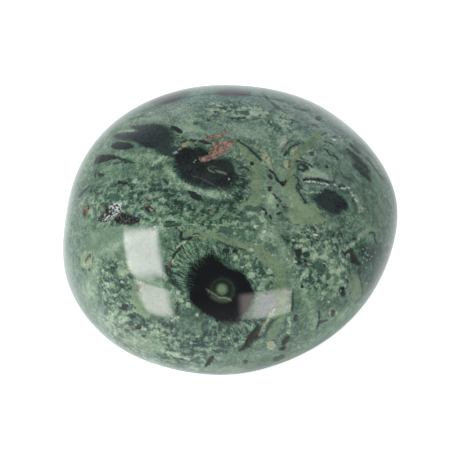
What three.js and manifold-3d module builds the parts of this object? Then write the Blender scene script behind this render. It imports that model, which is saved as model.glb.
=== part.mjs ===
// A polished hand stone of kambaba jasper: one rounded pebble that fills the palm. It is ground flat
// underneath, so that it stands, and the polish has left small pits and open cracks in its upper side.
// Millimetres, +Z up. +X runs along the stone to its blunt nose, and -Y is the side with the large eye.

import * as THREE from "three";
import { mergeVertices } from "three/addons/utils/BufferGeometryUtils.js";
import Module from "manifold-3d";

// The plain pebble, before its swells: half its length, width and height. Its sections are a little
// squarer than an ellipse, whose squareness would be 2.
const halfLength = 29.5;
const halfWidth = 27.1;
const halfHeight = 18.5;
const squareness = 2.3;

// How far below the stone's middle the flat foot is ground.
const footDepth = 17.75;

// Each swell lifts the surface around one direction, by a share of the radius there. A negative rise
// is a flat worn into the stone. Directions and spreads are in degrees, seen from the middle.
const swells = [
  { name: "blunt nose", azimuth: 5, elevation: 3, spread: 18, rise: 0.048 },
  { name: "flat beside the nose", azimuth: -37, elevation: -23, spread: 29, rise: -0.056 },
  { name: "front heel", azimuth: -89, elevation: -35, spread: 19, rise: 0.044 },
  { name: "belly", azimuth: -126, elevation: -30, spread: 45, rise: 0.033 },
  { name: "left cheek", azimuth: -166, elevation: -9, spread: 14, rise: 0.017 },
  { name: "left shoulder", azimuth: 156, elevation: 16, spread: 40, rise: -0.028 },
  { name: "back", azimuth: 96, elevation: 35, spread: 24, rise: 0.024 },
  { name: "flat behind the nose", azimuth: 38, elevation: 23, spread: 12, rise: -0.014 },
];

// Each pit is a scoop that runs on the surface between two points, given from the stone's middle.
const pits = [
  { name: "brown hollow", from: [-3.8, 1.6, 18.4], to: [1.7, 5.3, 18.3], wide: 2.7, deep: 0.55 },
  { name: "tip of the brown hollow", from: [-4.9, 0.9, 18.3], to: [-2.8, 2.0, 18.4], wide: 1.3, deep: 0.4 },
  { name: "brown streak", from: [-3.5, 5.7, 18.2], to: [0.4, 7.3, 18.1], wide: 0.8, deep: 0.3 },
  { name: "crystal pocket", from: [-22.8, -7.6, 12.2], to: [-18.3, -6.0, 15.0], wide: 2.5, deep: 0.5 },
  { name: "dark pocket", from: [-19.6, -7.8, 14.2], to: [-14.8, -9.9, 15.8], wide: 1.9, deep: 0.5 },
  { name: "left arm of the open slit", from: [13.2, -2.7, 17.1], to: [15.6, -1.7, 16.5], wide: 0.6, deep: 0.6 },
  { name: "right arm of the open slit", from: [15.1, -1.7, 16.6], to: [18.4, -1.5, 15.4], wide: 0.6, deep: 0.6 },
  { name: "end of the slit", from: [18.4, -2.1, 15.4], to: [20.6, -2.0, 14.4], wide: 0.9, deep: 0.4 },
  { name: "first fork hole", from: [6.9, -2.0, 18.2], to: [8.0, -2.9, 18.0], wide: 1.0, deep: 0.5 },
  { name: "second fork hole", from: [9.2, -3.1, 17.9], to: [10.4, -3.7, 17.7], wide: 1.0, deep: 0.5 },
  { name: "pinhole beside the fork", from: [7.2, -4.4, 18.1], to: [7.4, -5.2, 18.0], wide: 0.5, deep: 0.4 },
  { name: "upper fork crack", from: [8.0, -5.8, 17.9], to: [9.2, -7.2, 17.5], wide: 0.5, deep: 0.45 },
  { name: "lower fork crack", from: [9.1, -7.0, 17.6], to: [10.4, -8.4, 17.2], wide: 0.5, deep: 0.4 },
  { name: "hole left of the fork", from: [5.9, -8.6, 17.7], to: [6.8, -9.2, 17.5], wide: 0.8, deep: 0.45 },
  { name: "hole under the fork", from: [8.4, -9.6, 17.3], to: [9.6, -9.4, 17.1], wide: 0.5, deep: 0.4 },
  { name: "hole under the olive patch", from: [14.4, -11.0, 15.7], to: [15.5, -11.8, 15.1], wide: 0.7, deep: 0.5 },
  { name: "slit beside the nose", from: [19.4, -10.9, 13.6], to: [20.2, -11.7, 12.9], wide: 0.5, deep: 0.4 },
  { name: "top of the arc crack", from: [-5.9, -14.1, 16.4], to: [-8.0, -14.4, 16.0], wide: 0.5, deep: 0.45 },
  { name: "arc crack", from: [-7.9, -15.5, 15.6], to: [-9.4, -17.5, 14.5], wide: 0.5, deep: 0.45 },
  { name: "foot of the arc crack", from: [-9.5, -17.7, 14.4], to: [-10.0, -19.1, 13.4], wide: 0.5, deep: 0.4 },
  { name: "rusty pinhole", from: [19.7, -18.8, 8.3], to: [20.1, -19.5, 6.5], wide: 1.0, deep: 0.45 },
  { name: "small rusty pinhole", from: [13.3, -16.6, 13.9], to: [13.6, -17.6, 13.2], wide: 0.6, deep: 0.35 },
  { name: "front pocket", from: [3.3, -27.0, 2.7], to: [5.6, -25.8, 6.5], wide: 1.7, deep: 0.5 },
  { name: "tail of the front pocket", from: [2.1, -27.3, 1.2], to: [4.1, -27.0, 2.8], wide: 0.8, deep: 0.35 },
  { name: "low front pocket", from: [-3.7, -27.3, -3.9], to: [-2.5, -27.5, -0.6], wide: 0.9, deep: 0.4 },
  { name: "low nose pocket", from: [9.5, -26.1, 1.3], to: [10.6, -25.6, 3.1], wide: 1.2, deep: 0.4 },
  { name: "pinhole below it", from: [9.1, -26.2, -0.1], to: [10.0, -26.0, 0.2], wide: 1.1, deep: 0.3 },
  { name: "nose pocket", from: [21.4, -13.2, 11.3], to: [22.9, -14.5, 9.0], wide: 1.6, deep: 0.45 },
  { name: "left pocket", from: [-24.9, -5.3, 10.6], to: [-24.2, -3.2, 11.4], wide: 1.2, deep: 0.4 },
  { name: "slit in the pale ring", from: [-24.6, -13.4, 8.1], to: [-23.8, -12.8, 9.5], wide: 0.6, deep: 0.35 },
];

// How finely the round forms are faceted: the edges of an icosahedron are cut once more than this.
const stoneDetail = 16;
const largePitDetail = 2;
const smallPitDetail = 1;
const largePitWidth = 1.6;

// The step, in radii, by which the surface's slope is felt.
const slopeStep = 0.002;

const jasper = { color: 0x5f7d69, roughness: 0.1, metalness: 0 };

const wasm = await Module();
wasm.setup();

// The unit vector of an azimuth, counted from +X towards +Y, and an elevation above the horizon.
function directionOf(azimuth, elevation) {
  const polar = THREE.MathUtils.degToRad(90 - elevation);
  const turn = THREE.MathUtils.degToRad(azimuth);
  return new THREE.Vector3(
    Math.sin(polar) * Math.cos(turn),
    Math.sin(polar) * Math.sin(turn),
    Math.cos(polar),
  );
}

const swellAxes = swells.map((swell) => directionOf(swell.azimuth, swell.elevation));

// How far the surface is from the stone's middle, in a unit direction.
function radiusAlong(direction) {
  const plain =
    (Math.abs(direction.x / halfLength) ** squareness +
      Math.abs(direction.y / halfWidth) ** squareness +
      Math.abs(direction.z / halfHeight) ** squareness) **
    (-1 / squareness);
  const lift = swells.reduce((sum, swell, i) => {
    const away = THREE.MathUtils.radToDeg(direction.angleTo(swellAxes[i]));
    return sum + swell.rise * Math.exp(-((away / swell.spread) ** 2));
  }, 0);
  return plain * (1 + lift);
}

// The point of the surface that lies in the direction of any point.
function onSurface(point) {
  const direction = point.clone().normalize();
  return direction.multiplyScalar(radiusAlong(direction));
}

// The way the surface faces at a point on it, from two short steps along it.
function facing(point, along) {
  const outward = point.clone().normalize();
  const across = outward.clone().cross(along).normalize();
  const step = point.length() * slopeStep;
  const forward = onSurface(point.clone().addScaledVector(along, step)).sub(point);
  const sideways = onSurface(point.clone().addScaledVector(across, step)).sub(point);
  const normal = forward.cross(sideways).normalize();
  return normal.dot(outward) < 0 ? normal.negate() : normal;
}

// A closed geometry as a solid that can be cut.
function solidFrom(geometry) {
  geometry.deleteAttribute("normal");
  geometry.deleteAttribute("uv");
  const merged = mergeVertices(geometry);
  return new wasm.Manifold(
    new wasm.Mesh({
      numProp: 3,
      vertProperties: merged.getAttribute("position").array,
      triVerts: new Uint32Array(merged.index.array),
    }),
  );
}

// The whole pebble, a fine ball with every corner moved out to the surface.
function pebble() {
  const geometry = new THREE.IcosahedronGeometry(1, stoneDetail);
  const position = geometry.getAttribute("position");
  const point = new THREE.Vector3();
  for (let i = 0; i < position.count; i++) {
    const moved = onSurface(point.fromBufferAttribute(position, i));
    position.setXYZ(i, moved.x, moved.y, moved.z);
  }
  return solidFrom(geometry);
}

// What is ground away below the foot.
function groundAway() {
  const block = new THREE.BoxGeometry(4 * halfLength, 4 * halfWidth, 2 * halfHeight);
  block.translate(0, 0, -footDepth - halfHeight);
  return solidFrom(block);
}

// One scoop, an ellipsoid sunk to its middle in the surface.
function scoop({ from, to, wide, deep }) {
  const start = onSurface(new THREE.Vector3(...from));
  const end = onSurface(new THREE.Vector3(...to));
  const run = end.clone().sub(start);
  const middle = onSurface(start.clone().add(end));
  const normal = facing(middle, run.clone().normalize());
  const side = normal.clone().cross(run).normalize();
  const along = side.clone().cross(normal);
  const detail = wide > largePitWidth ? largePitDetail : smallPitDetail;
  const geometry = new THREE.IcosahedronGeometry(1, detail);
  geometry.scale(run.length() / 2, wide / 2, deep);
  geometry.applyMatrix4(new THREE.Matrix4().makeBasis(along, side, normal).setPosition(middle));
  return solidFrom(geometry);
}

// A cut solid as a geometry.
function geometryFrom(solid) {
  const mesh = solid.getMesh();
  const corners = new THREE.BufferAttribute(Float32Array.from(mesh.vertProperties), 3);
  const geometry = new THREE.BufferGeometry();
  geometry.setAttribute("position", corners);
  geometry.setIndex(new THREE.BufferAttribute(Uint32Array.from(mesh.triVerts), 1));
  geometry.computeVertexNormals();
  return geometry;
}

function makeStone() {
  const solid = pits.reduce(
    (stone, pit) => stone.subtract(scoop(pit)),
    pebble().subtract(groundAway()),
  );
  const geometry = geometryFrom(solid);
  // The stone stands on the origin's plane, with its outline centred over the origin.
  geometry.computeBoundingBox();
  const { min, max } = geometry.boundingBox;
  geometry.translate(-(min.x + max.x) / 2, -(min.y + max.y) / 2, -min.z);
  const stone = new THREE.Mesh(geometry, new THREE.MeshStandardMaterial(jasper));
  stone.name = "stone";
  return stone;
}

const part = new THREE.Group();
part.add(makeStone());

export default part;
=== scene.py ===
# The looks of a polished hand stone of kambaba jasper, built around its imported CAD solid.
# Lengths are in millimetres until a mesh or a light is made, and Blender gets metres.

import math

import bpy
import numpy as np
from mathutils import Matrix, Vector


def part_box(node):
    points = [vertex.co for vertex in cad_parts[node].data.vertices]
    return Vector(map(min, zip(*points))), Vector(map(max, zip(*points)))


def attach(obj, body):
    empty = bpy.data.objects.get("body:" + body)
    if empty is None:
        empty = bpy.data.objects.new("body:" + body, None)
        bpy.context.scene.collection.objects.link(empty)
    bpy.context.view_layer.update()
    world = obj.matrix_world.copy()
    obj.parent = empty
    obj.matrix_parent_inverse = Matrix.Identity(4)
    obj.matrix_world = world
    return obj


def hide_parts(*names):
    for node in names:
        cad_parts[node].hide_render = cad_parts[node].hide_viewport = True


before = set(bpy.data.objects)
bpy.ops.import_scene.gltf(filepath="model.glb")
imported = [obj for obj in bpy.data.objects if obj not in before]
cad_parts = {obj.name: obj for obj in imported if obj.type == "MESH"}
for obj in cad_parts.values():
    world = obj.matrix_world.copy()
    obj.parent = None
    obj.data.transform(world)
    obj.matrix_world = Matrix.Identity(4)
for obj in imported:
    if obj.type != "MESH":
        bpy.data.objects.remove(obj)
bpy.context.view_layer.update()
print("frame loaded")

mm = 0.001
tiny = 1e-9     # the least that anything is divided by
huge = 1e9      # a distance that is never the nearest

# How the photograph sees the stone. Places on the stone are given as pixels of that picture.
photo = dict(
    elevation=55.0,      # degrees above the horizon
    distance=400.0,      # mm from the stone's middle
    pixelsPerMm=5.55,    # at the stone's middle
    size=460,            # pixels each way
    aimRight=0.508,      # mm that the picture's centre is right of the stone's middle
    aimUp=-0.789,        # mm that it is above the stone's middle
    sensor=36.0,         # mm
    nearest=10.0,        # mm from the camera, where its view begins and ends
    farthest=20000.0,
)

# The pebble, as in the CAD: half its length, width and height, how square its sections are, and the
# swells that lift its surface round one direction by a share of the radius.
stone = dict(
    halfLength=29.5,
    halfWidth=27.1,
    halfHeight=18.5,
    squareness=2.3,
    footDepth=17.75,     # mm below the middle at which the foot is ground flat
    footRound=0.12,      # mm over which the edge of the foot is worn round
    swells=[             # name, azimuth, elevation and spread in degrees, rise
        ("blunt nose", 5, 3, 18, 0.048),
        ("flat beside the nose", -37, -23, 29, -0.056),
        ("front heel", -89, -35, 19, 0.044),
        ("belly", -126, -30, 45, 0.033),
        ("left cheek", -166, -9, 14, 0.017),
        ("left shoulder", 156, 16, 40, -0.028),
        ("back", 96, 35, 24, 0.024),
        ("flat behind the nose", 38, 23, 12, -0.014),
    ],
    gridCount=128,       # squares along each side of the six patches
    frontFineness=0.45,  # how much finer the grid is on the photographed side
    waveHeight=0.012,    # mm, the slight waves that hand polishing leaves
    waveLength=9.0,
    waveSeed=3,
    inset=0.03,          # mm that the surface stays inside the CAD's, whose facets cut its corners
)


def directionOf(azimuth, elevation):
    # The unit vector of an azimuth, from +X towards +Y, and an elevation above the horizon.
    turn = np.radians(azimuth)
    rise = np.radians(elevation)
    return np.stack([np.cos(turn) * np.cos(rise), np.sin(turn) * np.cos(rise), np.sin(rise)], -1)


def unit(vectors):
    # Each vector over its own length.
    return vectors / np.linalg.norm(vectors, axis=-1, keepdims=True)


def ease(low, high, values):
    # 3t² - 2t³, where t runs from 0 at low to 1 at high.
    t = np.clip((values - low) / (high - low), 0, 1)
    return t * t * (3 - 2 * t)


waveCount = 10
waveSpread = (0.7, 1.4)     # how long the waves of a ripple are, as shares of its length


def ripple(points, length, seed):
    # The sum of sine waves that run in seeded directions, over twice the root of their number, so that
    # it mostly stays between -1 and 1.
    rng = np.random.default_rng(seed)
    headings = unit(rng.normal(size=(waveCount, 3))) / (length * rng.uniform(*waveSpread, (waveCount, 1)))
    phases = rng.uniform(0, 2 * np.pi, waveCount)
    return np.sin(points @ headings.T * 2 * np.pi + phases).mean(1) * math.sqrt(waveCount) / 2


photoRight = np.array([1.0, 0.0, 0.0])
photoBack = directionOf(-90, photo["elevation"])
photoUp = np.cross(photoBack, photoRight)
photoEye = photoBack * photo["distance"] + photoRight * photo["aimRight"] + photoUp * photo["aimUp"]


def inPhoto(points):
    # The pixel at which each point shows: its offset from the camera across and up, over its depth.
    offset = points - photoEye
    scale = -photo["pixelsPerMm"] * photo["distance"] / (offset @ photoBack)
    half = photo["size"] / 2
    return np.stack([half + scale * (offset @ photoRight), half - scale * (offset @ photoUp)], -1)


def radiusAlong(directions):
    # (|x/a|^n + |y/b|^n + |z/c|^n)^(-1/n), times one plus each swell's rise · exp(-(angle/spread)²).
    halves = np.array([stone["halfLength"], stone["halfWidth"], stone["halfHeight"]])
    power = stone["squareness"]
    plain = (np.abs(directions / halves) ** power).sum(1) ** (-1 / power)
    lift = np.ones(len(directions))
    for _, azimuth, elevation, spread, rise in stone["swells"]:
        away = np.degrees(np.arccos(np.clip(directions @ directionOf(azimuth, elevation), -1, 1)))
        lift += rise * np.exp(-((away / spread) ** 2))
    return plain * lift


def spherePatches():
    # Six square grids on a cube, spaced by tan so that they are even on the ball, with shared edges
    # merged. The cube is turned to face the camera, and each direction's angle from the camera's is
    # pulled in by a share of its sine, which makes the grid finer there.
    count = stone["gridCount"]
    steps = np.arange(count + 1)
    first, second = np.meshgrid(steps, steps, indexing="ij")
    corner = (steps[:-1, None] * (count + 1) + steps[None, :-1]).ravel()
    turns = np.stack([corner, corner + count + 1, corner + count + 2, corner + 1], 1)
    lattice = []
    quads = []
    for axis in range(3):
        for side in (0, 1):
            patch = np.zeros((first.size, 3), int)
            patch[:, axis] = side * count
            patch[:, (axis + 1) % 3] = first.ravel()
            patch[:, (axis + 2) % 3] = second.ravel()
            quads.append((turns if side else turns[:, ::-1]) + len(lattice) * first.size)
            lattice.append(patch)
    lattice = np.concatenate(lattice)
    _, kept, merged = np.unique(lattice, axis=0, return_index=True, return_inverse=True)
    cube = np.tan((lattice[kept] / count * 2 - 1) * np.pi / 4)
    ball = unit(cube)
    angle = np.arccos(np.clip(ball[:, 2], -1, 1))
    pulled = angle - stone["frontFineness"] * np.sin(angle)
    across = ball[:, :2] * (np.sin(pulled) / np.maximum(np.sin(angle), tiny))[:, None]
    turned = across[:, :1] * photoRight + across[:, 1:] * photoUp + np.cos(pulled)[:, None] * photoBack
    return unit(turned), merged.ravel()[np.concatenate(quads)]


def cornerNormals(points, quads):
    # The sum of the crossed diagonals of the squares round each corner, made one long.
    crossed = np.cross(points[quads[:, 2]] - points[quads[:, 0]], points[quads[:, 3]] - points[quads[:, 1]])
    total = np.zeros_like(points)
    for k in range(4):
        for axis in range(3):
            total[:, axis] += np.bincount(quads[:, k], crossed[:, axis], len(points))
    return unit(total)


# The cosines to the camera over which the hidden side fades into the drawn one.
seenEdge = (-0.32, -0.04)

directions, quads = spherePatches()
points = directions * radiusAlong(directions)[:, None]
waves = stone["waveHeight"] * ripple(points, stone["waveLength"], stone["waveSeed"])
points += directions * waves[:, None]
above = (points[:, 2] + stone["footDepth"]) / stone["footRound"]
points[:, 2] = stone["footRound"] * np.logaddexp(0, above) - stone["footDepth"]
normals = cornerNormals(points, quads)
toCamera = unit(photoEye - points)
facing = (normals * toCamera).sum(1)
seen = ease(*seenEdge, facing)
print("pebble:", len(points), "corners")

# A vertex's place in the picture wanders a little, so that no outline is drawn too cleanly.
wanderWaves = ((1.1, 0.8), (0.6, 0.6), (0.36, 0.5))     # length in mm, share
wanderReach = 0.8      # pixels
wanderSeeds = (11, 12)
wander = sum(share * np.stack([ripple(points, length, seed) for seed in wanderSeeds], 1)
             for length, share in wanderWaves)
calmSpots = inPhoto(points)
spots = calmSpots + wander * wanderReach

margin = 12.0          # pixels round a mark within which its depth is worked out
outside = -margin      # the depth that stands for anywhere farther off
cornerCuts = 2         # how many times the corners of a drawn line are cut


def roundedLoop(corners, rounds=cornerCuts):
    # Each round replaces every edge by its points at a quarter and at three quarters.
    loop = np.array(corners, float)
    for _ in range(rounds):
        after = np.roll(loop, -1, axis=0)
        loop = np.stack([0.75 * loop + 0.25 * after, 0.25 * loop + 0.75 * after], 1).reshape(-1, 2)
    return loop


def roundedPath(corners):
    # The same cutting for an open path, which keeps its two ends.
    path = np.array(corners, float)
    for _ in range(cornerCuts if len(path) > 2 else 0):
        cut = np.stack([0.75 * path[:-1] + 0.25 * path[1:], 0.25 * path[:-1] + 0.75 * path[1:]], 1)
        path = np.concatenate([path[:1], cut.reshape(-1, path.shape[1])[1:-1], path[-1:]])
    return path


def nearPart(spots, low, high):
    # The indices of the spots inside a box.
    return np.nonzero(((spots > low) & (spots < high)).all(1))[0]


def depthInLoop(spots, corners):
    # The distance to the nearest edge, positive inside, where a line to the left crosses an odd
    # number of edges.
    loop = roundedLoop(corners)
    depth = np.full(len(spots), outside)
    near = nearPart(spots, loop.min(0) - margin, loop.max(0) + margin)
    best = np.full(len(near), huge)
    inside = np.zeros(len(near), bool)
    x, y = spots[near].T
    for (x0, y0), (x1, y1) in zip(loop, np.roll(loop, -1, axis=0)):
        runX, runY = x1 - x0, y1 - y0
        t = np.clip(((x - x0) * runX + (y - y0) * runY) / (runX * runX + runY * runY), 0, 1)
        best = np.minimum(best, (x - x0 - t * runX) ** 2 + (y - y0 - t * runY) ** 2)
        if y0 != y1:
            inside ^= ((y0 > y) != (y1 > y)) & (x < x0 + (y - y0) * runX / runY)
    depth[near] = np.maximum(np.sqrt(best) * np.where(inside, 1, -1), outside)
    return depth


def depthInStroke(spots, corners, width):
    # Half the width minus the distance to the path. The width may be one value for the whole path or
    # one for each of its points.
    widths = np.broadcast_to(np.array(width, float), len(corners))[:, None]
    path = roundedPath(np.concatenate([np.array(corners, float), widths], 1))
    depth = np.full(len(spots), outside)
    reach = margin + path[:, 2].max()
    near = nearPart(spots, path[:, :2].min(0) - reach, path[:, :2].max(0) + reach)
    best = np.full(len(near), outside)
    x, y = spots[near].T
    ends = path[1:] if len(path) > 1 else path
    for (x0, y0, w0), (x1, y1, w1) in zip(path, ends):
        runX, runY = x1 - x0, y1 - y0
        t = np.clip(((x - x0) * runX + (y - y0) * runY) / max(runX * runX + runY * runY, tiny), 0, 1)
        away = np.hypot(x - x0 - t * runX, y - y0 - t * runY)
        best = np.maximum(best, (w0 + (w1 - w0) * t) / 2 - away)
    depth[near] = best
    return depth


def depthOf(spots, width, corners):
    # A mark with no width is a closed outline, and any other is a stroke.
    if np.max(width) > 0:
        return depthInStroke(spots, corners, width)
    return depthInLoop(spots, corners)


# The black eyes and patches: name, how far the black is greyed, width, points. Here and in the lists
# below, a width of 0 makes the points a closed outline.
blackPatches = [
    ("large eye", -0.2, 0, [(206, 255), (213, 256.5), (219, 259), (223, 263), (229, 268.5), (237, 270),
     (243, 273), (248, 280), (252, 287), (254.5, 293), (253, 300), (249, 308), (243, 315), (235, 321.5),
     (225, 322), (216, 319), (208, 315.5), (202, 311.5), (198, 307), (192, 303), (189.5, 296), (189, 285),
     (190, 275), (193, 268), (199, 264), (204, 260)]),
    ("second eye", 0.32, 0, [(174, 156), (178, 150), (182, 148), (185, 146.5), (190, 148), (195, 149),
     (200, 146.5), (204, 149), (208, 152), (212, 160), (220, 158.5), (226, 158.5), (230, 161), (232, 165),
     (235, 170), (236, 176), (234, 180), (231, 185), (232, 191), (227, 188), (222, 188.5), (216, 187.5),
     (206, 188), (201, 185.5), (196, 185), (190, 183), (185, 180), (181, 177), (177, 172), (175, 167),
     (175, 160)]),
    ("third eye", 0.52, 0, [(313.5, 197.5), (317, 195.5), (320.5, 192.5), (325, 189.3), (331, 189),
     (336, 191), (341, 195), (345, 199), (348.5, 204), (348, 208), (345, 210), (341, 209.5), (340.5, 213),
     (337, 215), (331, 213.5), (326, 210.5), (321, 207), (317, 203.5), (314, 201)]),
    ("forked patch", 0.55, 0, [(127, 126), (140, 125), (150, 123.5), (160, 124.3), (166, 127), (172, 133),
     (172, 139), (170, 144), (167, 149), (158, 149), (150, 148.7), (143, 146), (136, 142), (128, 140.3),
     (120, 140), (113, 136.5), (120, 133.2), (130, 132), (140, 131), (133, 128.5)]),
    ("left rim patch", 0.58, 0, [(150, 101), (165, 95), (180, 92), (192, 90.5), (186, 96), (176, 100),
     (165, 104), (152, 105)]),
    ("back rim patch", 0.66, 0, [(216, 92), (225, 89.5), (240, 90), (252, 92.5), (250, 96), (238, 97),
     (225, 96), (218, 95)]),
]

# The olive bands and patches between the eyes: name, how light, width, points.
olivePatches = [
    ("band round the large eye", 0.45, (6, 8, 8, 8, 8, 9, 12, 13, 14, 15, 14, 15, 15, 13, 12), [(185, 234),
     (205, 235), (215, 236), (225, 239.5), (235, 243), (245, 245), (259.5, 250), (263, 255), (268, 260),
     (277, 266), (280, 271), (280.5, 280), (280.5, 290), (280, 305), (279, 318)]),
    ("band round the second eye", 0.46, (7, 8, 11, 13, 13, 12, 10, 4), [(240, 143), (248, 152), (255, 162),
     (257.5, 172), (257.5, 185), (257, 195), (254, 203), (238, 206)]),
    ("band round the third eye", 0.52, (4, 8, 9, 6.5, 5.5, 6, 7, 8, 12), [(320, 131), (317.5, 134.5),
     (313, 139), (305.5, 146), (297, 154.5), (293, 161), (292, 169), (289.5, 177), (290, 188)]),
    ("patch under the third eye", 0.58, 0, [(284, 188), (290, 186), (296, 189), (299, 194), (302, 200),
     (307, 204), (313, 203), (318, 205), (320, 210), (323, 217), (325, 221), (321, 225), (313, 224),
     (306, 226), (298, 225), (291, 222), (287, 215), (288, 207), (285, 198)]),
    ("patch below the nose", 0.38, 0, [(350, 271), (355, 270), (359, 277), (361, 285), (361.5, 292),
     (360, 299), (355, 302), (351, 301), (350, 293), (349, 285), (349, 277)]),
    ("left ring spot", 0.68, 0, [(80, 262), (80, 255), (83, 250), (88, 250), (92, 254), (93, 259), (92, 264),
     (89, 268), (84, 268), (81, 266)]),
    ("arc left of the large eye", 0.52, (6, 8, 8, 8, 6), [(135, 286), (134, 296), (137, 304), (142, 311),
     (148, 316)]),
    ("band along the front", 0.28, (4, 7, 8, 6), [(240, 367), (262, 361), (280, 355), (297, 350)]),
    ("front olive", 0.38, (5, 11, 11, 7), [(281, 318), (277, 326), (273, 334), (268, 341)]),
]

# The open pits and cracks: name, width, depth in mm, points.
pits = [
    ("brown hollow", 0, 0.5, [(199, 159), (200, 157.5), (204, 156.5), (207, 156), (209, 152.5), (211, 150.5),
     (212, 147), (212, 144), (214, 143), (220, 142), (227, 141), (232, 139.7), (237, 139.2), (234, 142),
     (232, 145), (229, 149.5), (224, 152), (221, 155), (217, 157.5), (210, 159.5), (206, 160.5), (203, 162),
     (200.5, 160.5)]),
    ("brown streak", (2.6, 3.4, 1.8), 0.25, [(207, 138.5), (219, 135.3), (228.5, 132.3)]),
    ("crystal pocket", 0, 0.4, [(96, 219), (98, 216.5), (101, 214.5), (104, 212), (105, 208), (107, 205),
     (112, 203.5), (118, 203), (121.5, 202), (121.5, 206), (119.5, 211), (117, 215), (113, 217.5), (110, 220),
     (107, 222), (102, 221.5), (98, 222)]),
    ("dark pocket", 0, 0.45, [(120, 211), (124, 212.5), (128, 214), (133, 215), (138, 217.5), (140, 220),
     (137, 223), (131, 224.7), (125, 224.5), (119, 224), (114.5, 221.5), (114, 219), (117, 216), (119, 213)]),
    ("open slit", (1.6, 2.4, 2.4, 2.4, 2, 1.4), 0.5, [(304, 180), (310, 179.2), (316, 178.7), (320, 179.3),
     (327, 181.3), (335, 181.8)]),
    ("end of the slit", 2.6, 0.3, [(334, 184.3), (344, 187.2)]),
    ("first fork hole", 0, 0.5, [(267, 174.5), (271, 174.5), (273, 177), (272.5, 180), (270.5, 179),
     (268.5, 177)]),
    ("second fork hole", 0, 0.5, [(280, 181), (285, 181), (286.5, 178.5), (287, 183), (283, 186),
     (281, 184.5)]),
    ("pinhole beside the fork", 3.4, 0.4, [(270, 187.6), (270, 189.4)]),
    ("upper fork crack", 1.6, 0.2, [(273.5, 194), (275.5, 197), (278.5, 197.5), (280.5, 201.5)]),
    ("lower fork crack", 1.4, 0.2, [(281, 204), (284, 207), (287.5, 207)]),
    ("hole left of the fork", 0, 0.4, [(261, 208), (264, 207), (266.5, 209.5), (265.5, 211), (263, 210.5)]),
    ("hole under the fork", 0, 0.35, [(276.5, 213), (279, 211.7), (282.5, 212.2), (281.5, 214),
     (277, 214.8)]),
    ("hole under the olive patch", 0, 0.45, [(311.5, 225.5), (313, 225.3), (317.5, 231), (316, 232),
     (313.5, 229.5), (311, 227)]),
    ("slit beside the nose", 0, 0.35, [(339.5, 232), (341, 231.5), (344, 238), (342.5, 239), (340, 234)]),
    ("arc crack", 1.4, 0.1, [(179.5, 230), (182, 232.5), (179.5, 238.5), (183, 240), (188, 239.8),
     (192, 237.5)]),
    ("long arc crack", 1.4, 0.1, [(180, 248.5), (177, 251.5), (174, 255.5), (172, 260), (170.5, 264),
     (168, 267)]),
    ("rusty pinhole", 4.6, 0.4, [(342, 289), (343.2, 294)]),
    ("small rusty pinhole", 3, 0.3, [(305, 259.5), (306, 264.5)]),
    ("front pocket", (1.6, 6.6, 7, 4), 0.45, [(244.5, 346.5), (250, 340), (255, 334), (258.5, 328.5)]),
    ("tail of the front pocket", (1, 1.8, 2.4), 0.3, [(239, 351), (243, 348.5), (249, 346)]),
    ("low front pocket", (1.2, 2.8, 2.6), 0.35, [(206, 366), (210, 361.5), (212, 357.8)]),
    ("low nose pocket", (1.6, 3.4, 2.8), 0.35, [(283, 344), (286, 340.3), (288, 338)]),
    ("pinhole below it", 1.8, 0.3, [(281, 349), (284, 348)]),
    ("nose pocket", 0, 0.4, [(351, 250), (354, 252), (357, 257), (360, 262), (360.5, 265), (356, 263),
     (351, 263), (350.5, 258), (350.5, 254)]),
    ("left pocket", 0, 0.35, [(83.5, 209), (85, 207), (88, 205), (89, 209), (86, 213), (84.5, 216.5),
     (83, 215)]),
    ("slit in the ring spot", 1.6, 0.3, [(85.7, 261), (89.8, 254.5)]),
]

# What the marks are coloured like.
tints = dict(
    soot="#262c2b", deep="#2d3c37", teal="#415a4e", plum="#454844", umber="#3d3f3b", rust="#5f5044",
    brick="#7f5a4d", rose="#9a8f80", ochre="#8b8a62", cream="#939f83", pale="#8ea288",
    sage="#809c7d", frost="#bcc8bf", moss="#6a7f60", pine="#28302a", slate="#203129",
    mist="#7f8586", night="#0e1211",
)

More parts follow.
